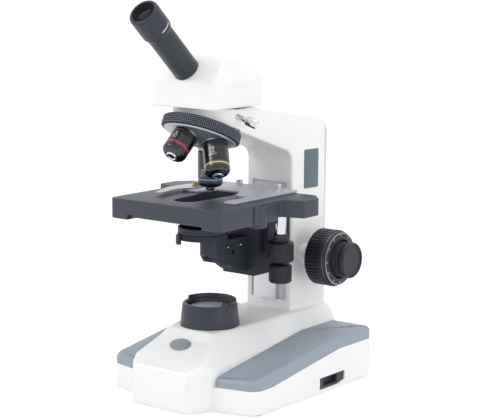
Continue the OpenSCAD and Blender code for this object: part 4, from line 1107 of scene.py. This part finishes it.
# The last number turns the figures, so that they read from the front left
barrel_numbers("low", [("4", 4.2), ("0.10", 2.4), ("160/-", 2.2)], 4.5, -92)
barrel_numbers("mid", [("10", 5), ("0.25", 3), ("160/0.17", 2.4)], 6.5, -16)
barrel_numbers("high", [("40", 3.6), ("0.65", 2.6), ("160/0.17", 2.2)], 17.5, 91)
sprung_nose()
for side in (1, -1):
    coarse_knob(side)
    dial_numbers(side)
    fine_knob(side)
stage_table()
slide_holder()
thumb_screws()
crescent_finger()
drive_knob("y", 13.3, 131, 151, [(3, 151), (3, 159), (1.6, 159), (1.6, 131)])
drive_knob("x", 11.5, 110, 128, [(1.5, 128), (1.5, 192.6), (0, 192.6)])
drive_sleeve()


# Studio

# Share of plain white in the floor that is seen; the rest keeps the shadow
FLOOR_WHITE = 0.55
# Strength of that white, which lifts the lit floor to pure white and leaves the contact shadow
FLOOR_GLOW = 1.27
# Light of the tent on the object
TENT = 0.9
# Lamps: name, place in metres, power in watts, size in metres
LAMPS = [("key", (-0.9, -1.3, 1.5), 7.5, 0.6), ("side", (1.7, -0.3, 0.5), 2.5, 0.8),
         ("top", (0.2, 0.3, 1.8), 6, 1.0)]
# Place that the lamps point at, in metres
LIT_SPOT = (0, 0, 0.18)
# Camera of the photograph: its place in millimetres, its angles in degrees, its lens and its sensor
CAMERA_SPOT = (944.1, -1175.5, 433.6)
CAMERA_TURN, CAMERA_DOWN, CAMERA_ROLL = 37.66, 9.38, 0.36
CAMERA_LENS = 116.98
SENSOR = 36


def white_where_seen(owner, lit, share, strength):
    """Adds the white that the camera, gloss and glass see in place of a lit surface."""
    path = add_node(owner, "ShaderNodeLightPath")
    seen = path.outputs["Is Camera Ray"]
    for ray in ("Is Glossy Ray", "Is Transmission Ray"):
        seen = add_node(owner, "ShaderNodeMath", links={0: seen, 1: path.outputs[ray]},
                        operation="MAXIMUM").outputs["Value"]
    seen = add_node(owner, "ShaderNodeMath", {1: share}, {0: seen}, operation="MULTIPLY").outputs["Value"]
    plain_white = add_node(owner, "ShaderNodeEmission", {"Color": (1, 1, 1, 1), "Strength": strength})
    return add_node(owner, "ShaderNodeMixShader",
                    links={"Fac": seen, 1: lit, 2: plain_white.outputs["Emission"]}).outputs["Shader"]


def white_floor():
    """White paper under the stand."""
    only(None)
    bpy.ops.mesh.primitive_grid_add(x_subdivisions=4, y_subdivisions=4, size=8, location=(0, 0, 0))
    floor = bpy.context.object
    floor.name = "floor"
    paper = bare("studio_paper")
    sheet = add_node(paper, "ShaderNodeBsdfPrincipled", {"Base Color": colour("#f4f4f4"), "Roughness": 0.9})
    add_node(paper, "ShaderNodeOutputMaterial",
             links={"Surface": white_where_seen(paper, sheet.outputs["BSDF"], FLOOR_WHITE, FLOOR_GLOW)})
    floor.data.materials.append(paper)


def light_tent():
    """An even bright tent all round."""
    world = bpy.context.scene.world or bpy.data.worlds.new("studio")
    bpy.context.scene.world = world
    world.use_nodes = True
    world.node_tree.nodes.clear()
    tent = add_node(world, "ShaderNodeBackground", {"Color": (1, 1, 1, 1), "Strength": TENT})
    add_node(world, "ShaderNodeOutputWorld",
             links={"Surface": white_where_seen(world, tent.outputs["Background"], 1, 1)})


def lamps():
    """Soft lamps at the front, the right and above."""
    for name, spot, power, size in LAMPS:
        bpy.ops.object.light_add(type="AREA", location=spot)
        lamp = bpy.context.object
        lamp.name = name
        lamp.data.energy = power
        lamp.data.size = size
        lamp.rotation_euler = (Vector(LIT_SPOT) - Vector(spot)).to_track_quat("-Z", "Y").to_euler()


def camera():
    """The camera, and plain colours with no film curve."""
    bpy.ops.object.camera_add()
    eye = bpy.context.object
    eye.name = "camera"
    eye.matrix_world = (at(*CAMERA_SPOT) @ turn_about("Z", CAMERA_TURN)
                        @ turn_about("X", 90 - CAMERA_DOWN) @ turn_about("Z", CAMERA_ROLL))
    eye.data.lens = CAMERA_LENS
    eye.data.sensor_width = SENSOR
    bpy.context.scene.camera = eye
    bpy.context.scene.view_settings.view_transform = "Standard"


white_floor()
light_tent()
lamps()
camera()
